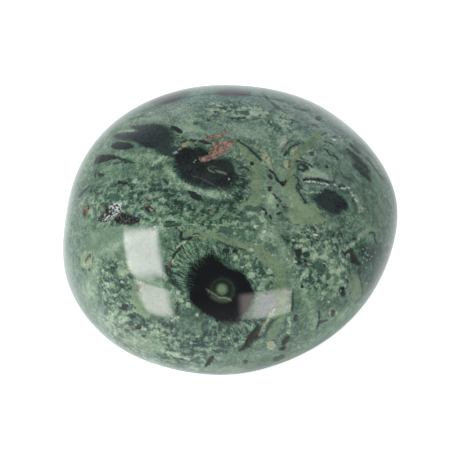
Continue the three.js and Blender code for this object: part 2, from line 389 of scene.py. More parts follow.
# Marks laid one over another: tint, how strongly it covers, width, points. "white" is drusy quartz. A few
# rows are painted highlight or shade, each marked.
marks = [
    # Above the second eye and left of it: dark lenses, thin lines and the quartz at the patch's tip.
    ("soot", 0.97, (2, 6.5, 7.6, 6.5, 2), [(111.5, 146), (116, 146), (122, 146), (128, 146), (133, 146)]),
    ("soot", 1, 0, [(93, 164), (96, 158), (100, 155), (106, 154.7), (113, 154.5), (118.5, 157), (117, 159),
     (112, 159.5), (106, 160.5), (101, 162.5), (96, 164)]),
    ("deep", 0.85, 2.2, [(117, 157), (122, 159.5), (130, 161), (134, 163)]),
    ("deep", 0.75, 1.8, [(114, 164), (117, 162.5), (125, 162.3), (132, 162)]),
    ("soot", 0.9, (3, 4.6, 3), [(173, 127.3), (177, 129.5), (181.5, 131.7)]),
    ("pale", 0.45, 1.5, [(130, 117), (138, 114), (148, 112), (156, 113)]),
    ("teal", 0.9, 1.6, [(131, 119), (140, 116), (150, 116)]), ("ochre", 0.4, 1.3, [(128, 124), (138, 124)]),
    ("ochre", 0.5, 1.3, [(152, 120), (160, 120)]), ("sage", 0.55, 2.5, [(118, 131.3), (133, 130.3)]),
    ("pale", 0.75, 0, [(150, 167), (155, 161), (160, 157), (164, 155.3), (168, 156.5), (166, 158.5),
     (161, 159.5), (157, 163), (152, 166.5)]),
    ("white", 0.75, 1.1, [(171.8, 155), (176.5, 151.5), (180, 149.3), (182, 147.6)]),
    ("deep", 0.6, (5, 8, 7), [(160, 149), (168, 150.5), (176, 151)], 3),
    ("frost", 0.35, 1.8, [(193.5, 162), (196, 160)]), ("ochre", 0.75, 3, [(183.5, 145.5), (187.5, 143)]),
    ("moss", 0.8, 2.6, [(187, 145), (191.5, 142)]),
    ("soot", 0.7, 1.8, [(181.5, 142.5), (184.5, 141), (186.5, 139.5)]),
    ("deep", 0.85, 3.2, [(99.5, 174.5), (103, 174.5)]), ("frost", 0.5, 1.8, [(101.5, 171.3)]),
    ("pale", 0.8, 0, [(116, 275), (117, 269), (122, 264), (128, 264), (132, 268), (129, 272), (124, 277)]),
    ("soot", 0.9, 2.4, [(118.5, 182), (120.5, 182)]), ("soot", 0.85, 2.4, [(123.5, 183), (126.5, 183)]),
    ("soot", 1, 3.4, [(146.8, 208.2), (149, 210)]), ("soot", 0.8, 2, [(149, 206.5), (154, 210)]),
    ("brick", 0.55, 1.4, [(144.5, 206.5), (147, 206)]), ("rose", 0.9, 1.6, [(150, 208.5), (151.8, 210)]),
    ("brick", 0.6, 1.6, [(147, 197)]), ("rose", 0.25, 1.6, [(137, 182), (128, 189)]),
    ("brick", 0.5, 1.5, [(159, 198)]), ("teal", 0.7, 7, [(113, 196), (117, 197)]),
    ("rust", 0.35, 4.4, [(86, 178), (86, 180)]), ("deep", 0.8, 2.4, [(79, 197), (84, 191), (89, 186)]),
    ("brick", 0.75, 1.6, [(83, 209), (86.5, 208), (85, 214), (84, 217)]), ("brick", 0.6, 1.8, [(77, 204)]),
    ("rose", 0.7, 1.8, [(80.5, 204.5), (83, 202)]), ("brick", 0.5, 1.6, [(94.5, 203), (95.5, 205)]),
    ("rose", 0.6, 1.8, [(101, 206)]), ("rose", 0.5, 1.8, [(89, 215)]),
    ("pale", 0.5, 2.4, [(95, 202), (97, 201.5)]), ("soot", 0.85, 2, [(190.5, 209.5), (195, 210)]),
    ("deep", 0.8, 1.8, [(170, 213), (177, 213.3)]), ("deep", 0.85, 1.8, [(166, 221.5), (174, 221.7)]),
    # Along the top.
    ("deep", 0.8, 2.2, [(262.5, 93), (266, 97), (270, 101), (273, 104), (279, 107)]),
    ("deep", 0.7, 1.6, [(275, 108), (280, 110), (286, 114.5)]),
    ("deep", 0.75, 1.8, [(294, 107), (299, 109), (304, 110.5), (310, 110)]),
    ("deep", 0.85, 1.8, [(215, 111), (222, 113), (228, 117), (236, 118.5), (245, 118)]),
    ("deep", 0.8, 1.8, [(207, 120), (214, 121.5), (222, 125)]),
    ("pale", 0.7, 1.5, [(280, 111.5), (288, 115.5)]),
    ("pale", 0.6, 1.6, [(210, 109), (216, 109.5), (221, 112), (226, 115.5), (233, 116.5), (240, 115),
     (250, 116.5), (257, 113), (262, 109)]),
    ("pale", 0.5, 1.6, [(211, 121), (218, 122.5), (226, 124.5), (235, 125.5)]),
    ("cream", 0.5, 1.5, [(208, 104.5), (215, 103), (223, 103), (228, 105)]),
    ("deep", 0.7, 3.4, [(221, 108), (226, 108)]), ("teal", 0.9, 3.4, [(231, 107), (236, 107)]),
    ("teal", 0.95, 3.4, [(242, 112.5), (248, 113)]), ("teal", 0.85, 3, [(194.5, 122.8), (196.5, 123.2)]),
    ("pale", 0.4, 4.6, [(256.3, 109), (259.7, 109)]), ("ochre", 0.8, 1.8, [(204, 112.5)]),
    ("ochre", 0.8, 2.2, [(209.5, 115), (211, 115.3)]), ("umber", 0.85, 4.4, [(317.6, 118), (319.4, 118)]),
    ("soot", 0.75, (0.8, 1.6, 0.8), [(310, 124.2), (314, 125), (318.5, 127)]),
    ("deep", 0.6, 1.2, [(304, 127), (311, 127.6)]), ("cream", 0.5, 3.8, [(247.8, 134.5), (250.2, 134.5)]),
    ("cream", 0.7, 2.4, [(255.5, 142), (258.5, 142)]),
    # Round the second eye.
    ("soot", 0.85, 1.8, [(190.5, 140.2), (196, 140.6)]),
    ("soot", 0.9, (1.4, 3, 1.4), [(199.5, 141.2), (205, 142.3), (211, 143.6)]),
    ("soot", 0.9, 2.8, [(195.5, 145)]),
    ("soot", 1, (1.5, 6, 6.4, 1.5), [(188, 190.8), (192.5, 194), (197.5, 197.2), (202, 200.4)]),
    ("rose", 0.8, 1.6, [(229, 179)]), ("teal", 0.5, 1.6, [(205, 202.5), (215, 204), (225, 203.5)]),
    ("deep", 0.8, 1.8, [(238, 168), (244, 166.5), (249, 170)]), ("deep", 0.8, 2, [(163, 179), (168, 183.5)]),
    ("deep", 0.9, 2, [(237, 140), (246, 145.5), (251, 150), (255, 154), (258, 157), (261, 159.5)]),
    ("cream", 0.4, (2, 4, 5), [(248, 143), (257, 147), (263, 153)]),
    ("cream", 0.75, (5, 6, 3), [(264.5, 155), (268, 160), (271, 167)]), ("brick", 0.9, 2, [(266.7, 157.3)]),
    ("soot", 0.8, 4, [(251.5, 163.5), (252, 163.5)]),
    ("teal", 0.5, 1.6, [(271, 160), (272, 165), (274, 169)]),
    ("soot", 0.85, 1.8, [(270, 170), (273, 172.5), (275, 175), (276.5, 178.5), (279, 181.5), (281, 183)]),
    # Between the bands, up to the slit.
    ("rust", 0.72, (0.8, 1.1, 1.3, 1.7, 0.8), [(295, 135), (291.5, 138), (288, 142), (284.4, 147),
     (281, 153)]),
    ("cream", 0.7, 5, [(295.5, 148), (292.5, 152.5)]),
    ("deep", 0.75, 2, [(289, 148.5), (292, 146), (297, 144.5)]),
    ("deep", 0.75, 2.4, [(284.5, 155.5), (287, 152)]), ("cream", 0.7, 5, [(286.8, 162), (286.8, 167)]),
    ("pale", 0.6, 3, [(300, 137.5), (303, 139)]), ("rust", 0.5, 1.4, [(295, 166), (291, 170), (287, 176)]),
    ("ochre", 0.7, 1.6, [(295.5, 135), (298, 134)]),
    ("teal", 0.4, 8, [(320, 132), (313, 139), (305, 147)], 4), ("rust", 0.7, 1.5, [(289, 162), (289, 166.5)]),
    ("deep", 0.9, 0, [(296.5, 165.5), (300, 163), (304.5, 164), (308.5, 167), (309.5, 172), (306, 172.5),
     (301, 170.5), (297.5, 169)]),
    ("pale", 0.5, 1.1, [(299.5, 166.8), (303, 167.5)]),
    ("deep", 0.75, 1.4, [(296.5, 161), (302.5, 161.5), (308, 163.5), (313.5, 167.5)]),
    ("pale", 0.6, 1.4, [(297.5, 159), (303, 159.5), (309, 161.5), (314, 165)]),
    ("pale", 0.6, 1.4, [(303, 155.5), (307, 158), (311, 160)]),
    ("deep", 0.6, 1.4, [(300, 157), (305, 160.5)]), ("deep", 0.8, 4.6, [(311.9, 153.5)]),
    ("rust", 0.7, 2, [(311.6, 153.6)]), ("pale", 0.75, 1.5, [(308, 152), (310, 150.3), (313, 150)]),
    ("pale", 0.7, 1.8, [(315, 152), (315.2, 154.5)]), ("pale", 0.6, 1.5, [(309, 156.3), (312.5, 157)]),
    ("deep", 0.8, 1.4, [(326, 149.5), (330, 154.5)]), ("deep", 0.8, 1.5, [(333.5, 155), (338.5, 160.5)]),
    ("soot", 0.85, 3, [(326.5, 166.5)]), ("frost", 0.65, 1.2, [(323, 137), (325, 139.5)]),
    ("frost", 0.55, 1, [(327.5, 134.8), (329.5, 135.4)]), ("frost", 0.5, 1, [(328.5, 138.6), (329.3, 138.4)]),
    ("deep", 0.8, 1.4, [(326.6, 137.2)]), ("frost", 0.7, 1.2, [(332.8, 139.4), (336, 139.8)]),
    ("deep", 0.8, 1.4, [(339, 138.8)]), ("deep", 0.8, 1.6, [(334, 137), (336.5, 136.6)]),
    ("pale", 0.6, 1.2, [(338, 136), (341, 137)]), ("pale", 0.6, 1.4, [(329, 141.5), (331, 142.5)]),
    ("deep", 0.7, 1.4, [(325, 141.5), (331, 143), (335, 147)]), ("deep", 0.6, 1.4, [(322, 135), (327, 133)]),
    ("frost", 0.5, 1.2, [(341.2, 139.8), (343, 140.2)]), ("frost", 0.45, 1, [(345.6, 139.6), (346.4, 139.4)]),
    ("frost", 0.5, 1.2, [(349, 140.2), (351.5, 141.6)]), ("frost", 0.3, 1.2, [(353.5, 143.6), (355, 145)]),
    ("teal", 0.45, 2, [(355, 163.5), (362, 170), (368, 175)], 1.5),
    ("soot", 0.6, 1.5, [(344.6, 137.8), (346.6, 137.8)]),
    # The slit with its quartz lip, and the third eye.
    ("pale", 0.6, 0, [(301, 174), (305, 177), (315, 177), (322, 178), (330, 178), (326, 175), (320, 171),
     (315, 166.5), (309, 170), (304, 172)]),
    ("frost", 0.6, 1.3, [(304.5, 181.6), (309, 181), (314, 181.8), (319, 182.6), (325, 183.6), (330, 184.8)]),
    ("frost", 0.65, 2, [(334.5, 184), (337, 185.5)]), ("frost", 0.6, 1.8, [(341, 187), (344, 188.5)]),
    ("frost", 0.7, 2, [(346.5, 186.5), (349, 187.5)]), ("frost", 0.5, 1.6, [(351, 193), (353, 196)]),
    ("pale", 0.5, (1, 2.6, 2, 1), [(344, 186.5), (350, 190.5), (355.5, 197), (358, 205)], 1),
    ("frost", 0.5, 1.8, [(355, 198), (356.5, 202)]),
    ("pale", 0.6, 1.5, [(356, 194), (358, 200), (360, 205), (363, 209), (367, 208)]),
    ("cream", 0.55, 5, [(359.5, 207), (361.5, 210)]), ("deep", 0.45, 5, [(362, 214), (364, 218)], 1.5),
    ("deep", 0.75, 2, [(297, 188), (300, 192), (303, 198), (306, 203)]),
    ("pale", 0.7, 1.6, [(289.6, 195), (291.5, 200), (292, 208)]), ("cream", 0.7, 2.6, [(291.7, 217)]),
    ("rose", 0.5, 2.2, [(289, 202)]), ("pale", 0.6, 1.6, [(305, 193), (312, 191.8), (320, 192.5)]),
    ("soot", 0.7, 1.4, [(297, 177), (299, 181), (298, 185), (301, 188)]), ("deep", 0.7, 3, [(277.5, 205.5)]),
    ("teal", 0.7, 6, [(247, 208), (259, 210)]), ("teal", 0.7, 4, [(241, 220), (249, 220)]),
    ("frost", 0.35, 2, [(261, 212), (264, 211.5)]), ("soot", 0.95, 2.8, [(266, 212.7)]),
    ("soot", 0.8, 2.4, [(270, 216), (271, 218)]), ("cream", 0.8, 1.6, [(313.5, 224.5), (317.5, 229)]),
    ("pale", 0.9, 2.2, [(296.5, 230.5), (299.5, 231.5)]), ("pale", 0.7, 2.2, [(301, 233.5), (304, 234.5)]),
    ("teal", 0.4, 3, [(317, 234.5), (328, 236.7)]), ("frost", 0.9, 2.4, [(315, 234.5)]),
    ("soot", 0.8, 3, [(333.5, 235.5)]), ("deep", 0.8, 2, [(282, 236), (285, 239.5)]),
    # The right side.
    ("slate", 0.62, (3, 9, 12, 9, 4), [(345, 148), (353, 156.5), (360, 165), (366.5, 174), (372, 184)], 5),
    ("slate", 0.5, 2.6, [(354, 166), (361, 173), (369, 179)], 1.5),
    ("deep", 0.7, 1.5, [(348, 149), (356, 156), (364, 165), (370, 172)]),
    ("pale", 0.35, 1.4, [(351, 150), (357, 153), (363, 158), (368, 163), (374, 170), (378, 174)]),
    ("deep", 0.85, 2.4, [(350, 144), (355, 148), (359, 152.5)]),
    ("deep", 0.6, 1.8, [(366, 157), (371, 163), (376, 170), (384, 181)]),
    ("brick", 0.95, 2, [(369.6, 181.6)]), ("deep", 0.5, 1.8, [(387, 200), (390, 204), (392, 209)]),
    ("cream", 0.5, 3, [(383, 192.5), (385, 196)], 1.5),
    ("soot", 0.9, (1.4, 1.6, 1.6, 1.2, 1.2, 0.9), [(368.3, 233), (372, 232), (375.8, 234.2), (374.2, 239.2),
     (377.5, 244), (380.4, 250)]),
    ("rust", 1, (3.4, 5.2, 3.4), [(387.6, 247.4), (387.2, 249.6), (386.8, 251.6)]),
    ("soot", 0.85, 2.8, [(387.5, 248), (387, 251)]),
    ("sage", 0.7, 4, [(371, 228), (366, 231), (360, 236), (357, 240), (353, 244), (348, 248)]),
    ("pale", 0.6, (1, 3.4, 2.4, 3.4, 1), [(370, 228.5), (363, 234.5), (356, 241), (348, 247), (339, 252)], 1),
    ("soot", 0.8, 4, [(354.5, 239), (355, 239.6)]),
    ("pale", 0.45, (1, 2.6, 1.4), [(362, 209.5), (367, 214.5), (372, 221)], 1),
    ("soot", 0.85, 2.2, [(345, 255), (347, 252), (350, 249), (353, 249.5)]),
    ("soot", 1, 3.2, [(359.5, 270.5), (359.5, 273.5)]), ("soot", 0.8, 2.2, [(347, 280), (347, 282)]),
    # The second is a painted highlight: the white glint in the rusty pinhole.
    ("rust", 0.7, 2, [(340.3, 288), (340.3, 293)]), ("frost", 0.8, 1.8, [(342.6, 292)]),
    ("teal", 0.85, 8, [(319, 265), (321, 271)]),
    ("cream", 0.6, 1.8, [(321.5, 261.5), (325, 263), (327, 266)]),
    ("soot", 0.85, 5.6, [(298.5, 252), (298.5, 254.6)]), ("deep", 0.85, 6.5, [(306.5, 254)]),
    ("soot", 0.85, 2.4, [(301.5, 285.5), (302.5, 287)]), ("cream", 0.55, 9.5, [(333, 313)]),
    ("soot", 0.95, 3.6, [(333.4, 311.5), (333, 314.8)]), ("sage", 0.3, 4, [(345, 315), (350, 308.5)]),
    ("soot", 0.85, 2, [(319.2, 311), (319.5, 321.5), (316.9, 328.4)]),
    ("deep", 0.85, 2, [(320.4, 322.6), (327.3, 320.3)]),
    # Round the large eye.
    ("soot", 0.95, (1.4, 2.6, 1.6, 2, 2, 1.4), [(178.5, 229), (182, 232), (180, 237), (181.5, 239.3),
     (187, 239.5), (192, 237.5)]),
    ("pale", 0.7, 1.6, [(179, 228), (181.5, 229.5)]),
    ("soot", 0.9, (3, 1.6, 2, 1.6), [(180, 248.5), (176.3, 251.7), (174.3, 254.5), (173, 258.3)]),
    ("rust", 0.9, (1.6, 2, 1.6), [(172.5, 259.5), (170.8, 262.5), (168.5, 267)]),
    ("soot", 0.85, 1.2, [(166.8, 268), (167, 271), (168.3, 276)]),
    ("soot", 0.8, 1.2, [(169.8, 270), (170.2, 273), (171.2, 277.5)]),
    ("deep", 0.85, 2, [(175, 285), (181, 290.5)]), ("frost", 0.45, 1.6, [(173.4, 260), (172.8, 265.5)]),
    ("pale", 0.7, 1.8, [(187, 241.5), (181, 243.5), (177, 247.5)]),
    ("soot", 0.85, 1.1, [(193.2, 234.2), (194.8, 233), (197.5, 233), (199.6, 234.4)]),
    ("cream", 0.6, 0.8, [(195.5, 235), (198.5, 235)]), ("ochre", 0.6, 0.5, [(195.8, 231.8), (199.6, 232.2)]),
    ("soot", 0.7, 0.8, [(194.5, 236.4), (198.5, 236.6)]), ("soot", 0.85, 5, [(224.6, 250.5), (226.6, 250.5)]),
    ("soot", 0.85, 3.6, [(234.6, 251), (235.6, 251)]),
    ("deep", 0.7, 1.8, [(217, 240), (222, 243), (228, 246), (235, 248), (245, 249.5)]),
    ("deep", 0.7, 3.4, [(224, 262), (229, 265)]), ("teal", 0.8, 5.5, [(222, 230), (230, 232)]),
    ("pale", 0.5, 1.2, [(160, 229), (170, 228.5), (176, 227), (183, 224.5), (195, 224), (210, 224.5),
     (225, 226), (238, 228)]),
    # The left side, lower down.
    ("deep", 0.75, 2.8, [(89, 269.5)]), ("deep", 0.7, 2.6, [(83, 270)]), ("frost", 0.4, 2.6, [(88, 272)]),
    ("cream", 0.4, 0, [(80, 262), (81, 254), (85, 250), (90, 252), (93, 258), (91, 265), (87, 269),
     (82, 268)], 1),
    ("umber", 0.8, (1, 1.8, 1.4), [(85.7, 261), (88, 257.5), (89.9, 254.2)]),
    ("deep", 0.5, 1.2, [(79, 254), (79, 262), (81, 268)]),
    ("deep", 0.6, 1.2, [(92, 253.5), (93.5, 258), (92.5, 263)]), ("frost", 0.7, 2.2, [(122.5, 281.7)]),
    ("ochre", 0.5, 3, [(127, 267.5), (130, 269)], 1), ("teal", 0.4, 7, [(121, 260), (124, 266)]),
    ("teal", 0.6, 5, [(115, 271), (116, 277)]), ("deep", 0.5, 5, [(122, 285), (125, 285)]),
    ("deep", 0.6, 4, [(129, 276), (133, 276)]), ("teal", 0.5, 6, [(111, 291), (113, 295)]),
    ("teal", 0.4, 3, [(129.5, 293), (129.5, 299)]), ("soot", 0.95, 6, [(124.3, 307.2), (125.3, 307.2)]),
    ("soot", 0.9, 3.6, [(136.5, 328), (139.5, 327.5)]), ("deep", 0.85, 3, [(142.5, 336), (144.5, 336)]),
    ("rose", 0.35, 4, [(86, 204), (86, 210)], 1.5), ("deep", 0.5, 2.4, [(84.5, 211), (84.5, 216)], 1),
    # Along the bottom.
    ("ochre", 0.5, 2.4, [(259.5, 334), (262.5, 329), (264, 325), (268, 321)]),
    ("soot", 0.8, 4.4, [(275, 359.6), (283, 357)]), ("soot", 0.75, 5.2, [(245.2, 362.2)]),
    ("soot", 0.95, 4.6, [(235.9, 340.7)]), ("soot", 0.8, 4.4, [(296, 317), (295.5, 319)]),
    ("pale", 0.7, 3, [(289.4, 318.6), (290, 326), (288.5, 333)]),
    # Painted shade: the dark line along the right edge of the right softbox's reflection.
    ("deep", 0.8, 2.4, [(292.5, 291), (292.8, 300), (292.5, 310)]),
    ("plum", 0.6, 3, [(265.5, 293.5), (267, 294)]),
    ("pale", 0.9, (3, 5, 1.5), [(268.5, 318.5), (271.5, 315), (274, 309.5)]),
    # The first is a painted highlight: the bright line at the right edge of the right softbox's reflection.
    ("frost", 0.5, 1.4, [(291, 288.5), (291, 295)]), ("soot", 0.6, 5.6, [(219.4, 327), (219.8, 330)], 2),
    ("deep", 0.75, 4, [(203, 324.5), (207, 323.5)], 1.2), ("deep", 0.85, 2.2, [(212, 350), (219, 353)], 1),
    ("cream", 0.6, 4, [(172, 320.5), (179, 317.5)], 1), ("rose", 0.5, 1.4, [(143, 351.5), (151, 352)]),
    ("deep", 0.75, (2, 4, 4, 2), [(279, 317), (271, 322), (267, 330), (263, 338)], 1.4),
    ("deep", 0.6, 2.4, [(286, 319), (284, 333)], 1),
    ("cream", 0.35, 1.2, [(268, 321), (263, 327), (260, 335)]),
    ("umber", 0.7, (2, 4, 8, 9, 9, 6), [(239, 351), (245, 347.5), (248.5, 342), (251.5, 338), (255, 334),
     (258.5, 328.5)]),
    ("plum", 0.85, (3, 5, 4.6), [(283, 344), (286, 340.3), (288, 338)]),
    ("plum", 0.8, 3.4, [(281, 349), (284, 348)]),
    ("plum", 0.8, (2.6, 5, 4.6), [(206, 366), (210, 361.5), (212, 357.8)]),
    ("umber", 0.7, (3, 6, 7, 5), [(351, 251), (353.5, 256), (355, 260), (357, 263)]),
    ("rose", 0.5, 1.8, [(112.5, 332)]),
    ("ochre", 0.5, (2, 4, 2.4), [(118.5, 318.5), (120.5, 321), (123, 323)], 1),
    ("ochre", 0.6, 4.2, [(188.2, 305.4)]), ("brick", 0.5, 1.6, [(189, 316.4)]),
    ("brick", 0.5, 1.6, [(195.5, 337)]), ("brick", 0.5, 1.6, [(205, 339.5)]),
    ("teal", 0.5, 1.2, [(221.5, 261), (228, 267), (236, 270.8)]), ("ochre", 0.55, 5, [(271, 345.5)]),
    ("pale", 0.6, 3.6, [(292.5, 344.5)], 1), ("pale", 0.4, 4.4, [(299, 347)], 1),
    ("frost", 0.4, 2, [(222, 134), (228, 132.5)]),
    # The quartz in the pocket above the upper left highlight.
    ("white", 0.95, 0, [(102, 218), (105, 213), (107, 208), (112, 203.5), (118, 203), (121.5, 202),
     (121.5, 206), (119.5, 211), (117, 215), (113, 217.5), (110, 220), (106, 221)]),
    ("white", 0.7, 2.4, [(98, 220), (103, 219)]),
]

# Loose pale grains: tint, then the x, y and width of each, and how strongly they cover.
grains = dict(
    pale=[
        (251, 250, 4.2), (255.5, 244, 3), (269.5, 271.5, 5.4), (271, 277.5, 2.6), (273, 255, 2.4),
        (251.5, 275, 7), (293.5, 240.5, 3), (300, 240.5, 2.6), (301.5, 246, 3), (306, 249, 3),
        (308, 240, 3.4), (325.5, 242, 5), (331, 251, 3), (324, 293, 4), (317, 286.5, 2.2), (322.5, 298.5, 3),
        (329, 302, 2.4), (259, 289, 2.6), (291.6, 217.2, 3), (305, 275.5, 5.5), (178, 293, 4.2),
        (181, 301, 4), (188, 305, 5.5), (197, 315, 3.5), (122, 262, 3.4), (103, 270.5, 3), (107, 284, 3.4),
        (129, 282.5, 3.4), (115, 295, 3), (255, 226.5, 3.4), (264, 231, 3.2), (287, 122, 1.8),
        (358.5, 212, 2),
    ],
    sage=[
        (363, 249, 1.3), (367, 248, 1.1), (370.5, 251, 1.3), (365, 253, 1.4), (368, 255.5, 1.3),
        (372, 256, 1.1), (364, 257.5, 1.2), (366.5, 260, 1.4), (370, 259.5, 1.3), (373.5, 261, 1.1),
        (363.5, 262.5, 1.1), (368.5, 263.5, 1.3), (375, 252.5, 1.1), (371.5, 266, 1.1), (366, 267.5, 1.3),
        (378, 247, 1.1), (376, 266, 1.1), (369, 272, 1.3), (364.5, 275, 1.1), (372, 277, 1.1),
        (366.5, 283, 1.1), (382, 232, 1.3), (384.5, 226, 1.1), (381, 240, 1.1), (386, 219, 1.1),
        (383, 212, 1.1),
    ],
    cream=[
        (235.5, 257.5, 4.2), (247, 265, 3.2), (243, 267, 2.6), (271, 345.5, 8.5), (287, 259.5, 2.6),
        (282, 124.5, 2.2), (285, 128, 2.2), (317.5, 257, 3), (196, 112, 2), (279, 120, 2), (290, 121.5, 1.8),
        (271.5, 121.5, 2.4),
    ],
    frost=[
        (264.5, 231.5, 2), (251, 111.5, 2), (255, 226.5, 1.8), (107, 284, 2),
    ],
)
grainCover = 0.8

# Glows seen through the polish inside the eyes, with smooth edges, after a grey that paints the colour of
# the right softbox's reflection: tint, how strongly it covers, width, points, how softly it ends in pixels.
glowsAndPaintedReflection = [
    # The first is painted reflection: it greys the ground under the right softbox's reflection to the neutral
    # colour the reflection shows.
    ("mist", 0.75, 0, [(257, 298), (264, 294), (272, 293), (277, 299), (276, 308), (269, 315), (260, 318),
     (253, 315)], 3.5),
    ("pine", 0.3, 26, [(222.5, 290)], 6), ("moss", 0.12, 25, [(222.5, 290.5)], 1.4),
    ("night", 0.75, 21.5, [(221.5, 290)], 2), ("pine", 0.4, 16, [(220, 293)], 5),
    ("moss", 0.95, 9.6, [(222, 289.3)], 2.6), ("moss", 0.3, 3, [(212, 296.5), (221, 300), (228, 300)], 2),
    ("cream", 0.75, (0.5, 0.8, 0.4, 1, 0.7, 1.1, 0.9), [(208, 290.5), (213, 293.5), (217, 295.5), (219, 298),
     (225, 297.5), (229, 299), (231, 300)], 0.8),
    ("cream", 0.35, 0.5, [(205.5, 288.5), (209, 291), (208, 293.5)], 0.8),
    ("moss", 0.4, 1, [(209, 167.2), (212, 166.4), (215.5, 166.8)], 0.8),
    ("moss", 0.8, (1, 1.4, 0.8), [(208, 168), (209, 170.2), (214.5, 172.6)], 0.8),
    ("moss", 0.8, (1, 2.4, 2.2, 1), [(215.5, 170.2), (218.5, 171.4), (222.5, 172.6), (225, 173.4)], 0.9),
    ("cream", 0.5, 1.2, [(224.5, 173.2), (226, 173.6)], 0.8),
    ("plum", 0.5, 1.8, [(211.5, 168.8), (213.5, 168.8)], 0.8),
    ("mist", 0.3, (0.4, 0.6, 1, 0.8), [(192, 176), (200, 177.5), (207, 181.5), (215.5, 185.7)], 0.7),
    ("slate", 0.6, 8, [(227, 160.5), (230, 166)], 3),
]

# Broad zones of the ground mass, laid one over another, three of them painted highlight: name, x, y, radii
# and turn of an oval, then its lightness from -1 to 1 and its shares of curds, streaks and needles.
zones = [
    ("left side", 80, 250, 34, 80, 0, 0.05, 0.3, 0.4, 0),
    ("top rim", 220, 96, 100, 12, 0, -0.05, 0.2, 1.1, 0),
    ("upper left flow", 150, 118, 60, 16, -22, 0, 0.15, 0.9, 0),
    ("left flow", 125, 172, 62, 26, -8, 0.08, 0.35, 0.7, 0),
    ("frayed end of the forked patch", 171, 141, 13, 15, 20, -0.3, 0.4, 0.3, 0.75),
    ("fringe under the second eye", 189, 178, 27, 9, 35, 0, 0.4, 0.2, 0.5),
    ("curds at the top", 236, 111, 34, 10, 4, 0.1, 0.9, 0.2, 0),
    ("flow under them", 235, 128, 65, 9, 4, 0.38, 0.2, 0.8, 0),
    ("crumbs by the fan", 280, 123, 16, 10, 10, 0.1, 0.8, 0.2, 0),
    ("upper right flow", 322, 122, 34, 14, 28, 0.15, 0.15, 0.9, 0),
    ("flow behind the third eye", 328, 158, 30, 26, 40, 0.3, 0.3, 1.15, 0.1),
    ("right rim", 372, 205, 24, 62, -16, 0.02, 0.35, 1.6, 0),
    ("curds left of the middle", 140, 207, 52, 30, 0, -0.05, 1, 0.2, 0),
    ("curds in the middle", 222, 219, 50, 15, 2, 0, 0.9, 0.3, 0),
    ("smooth left shoulder", 112, 240, 32, 14, -10, 0.3, 0.1, 0.15, 0),
    ("curds low on the left", 126, 297, 24, 42, -20, -0.05, 1, 0.1, 0),
    # Painted highlight: smooth, lighter ground where the upper left softbox's reflection washes out the
    # grain.
    ("under the upper highlight", 142, 253, 22, 28, -10, 0.15, 0.1, 0.1, 0),
    ("between the highlight and the eye", 178, 302, 14, 34, -12, -0.1, 0.7, 0.2, 0),
    ("needles over the large eye", 192, 262, 26, 28, 20, -0.28, 0.15, 0, 1),
    ("curds along the bottom left", 165, 338, 58, 22, 18, -0.05, 1, 0.1, 0),
    # Painted highlight: smooth, lighter ground where the lower left softbox's reflection washes out the
    # grain.
    ("under the lower highlight", 155, 302, 18, 20, -10, 0.1, 0.1, 0.1, 0),
    ("moss field", 190, 320, 20, 14, 0, -0.15, 0.35, 0.5, 0),
    ("smooth pale field", 145, 343, 22, 10, 20, 0.15, 0.4, 0.2, 0),
    ("needles under the large eye", 236, 332, 32, 15, 0, -0.26, 0.75, 0, 0.75),
    ("front flow", 255, 358, 50, 12, -12, -0.06, 0.1, 1, 0),
    ("grains right of the large eye", 256, 273, 14, 24, -30, 0, 0.9, 0.1, 0),
    # Painted highlight: smooth, lighter ground where the right softbox's reflection washes out the grain.
    ("under the right highlight", 266, 305, 22, 15, 0, 0.1, 0.2, 0.1, 0),
    ("teal flow", 292, 272, 9, 60, -16, 0, 0.1, 0.6, 0),
    ("grains on the right", 320, 258, 32, 42, -10, 0, 1, 0.1, 0),
    ("smooth lower right", 318, 318, 30, 26, -30, 0.06, 0.25, 0.8, 0),
    ("dark lower rim", 370, 272, 18, 32, 12, -0.44, 0.3, 0.4, 0),
    ("dark round the third eye", 322, 205, 36, 26, 20, -0.1, 0.45, 0.5, 0.26),
    ("fur right of the second eye", 234, 188, 18, 16, 30, -0.04, 0.5, 0, 0.75),
    ("pale between the bands", 274, 175, 16, 50, 4, 0.25, 0.5, 0.3, 0.1),
    ("smooth fork", 276, 192, 10, 26, 8, 0.4, 0.25, 0.2, 0),
    ("moss over the large eye", 218, 252, 28, 12, 12, -0.06, 0.7, 0, 0.6),
]
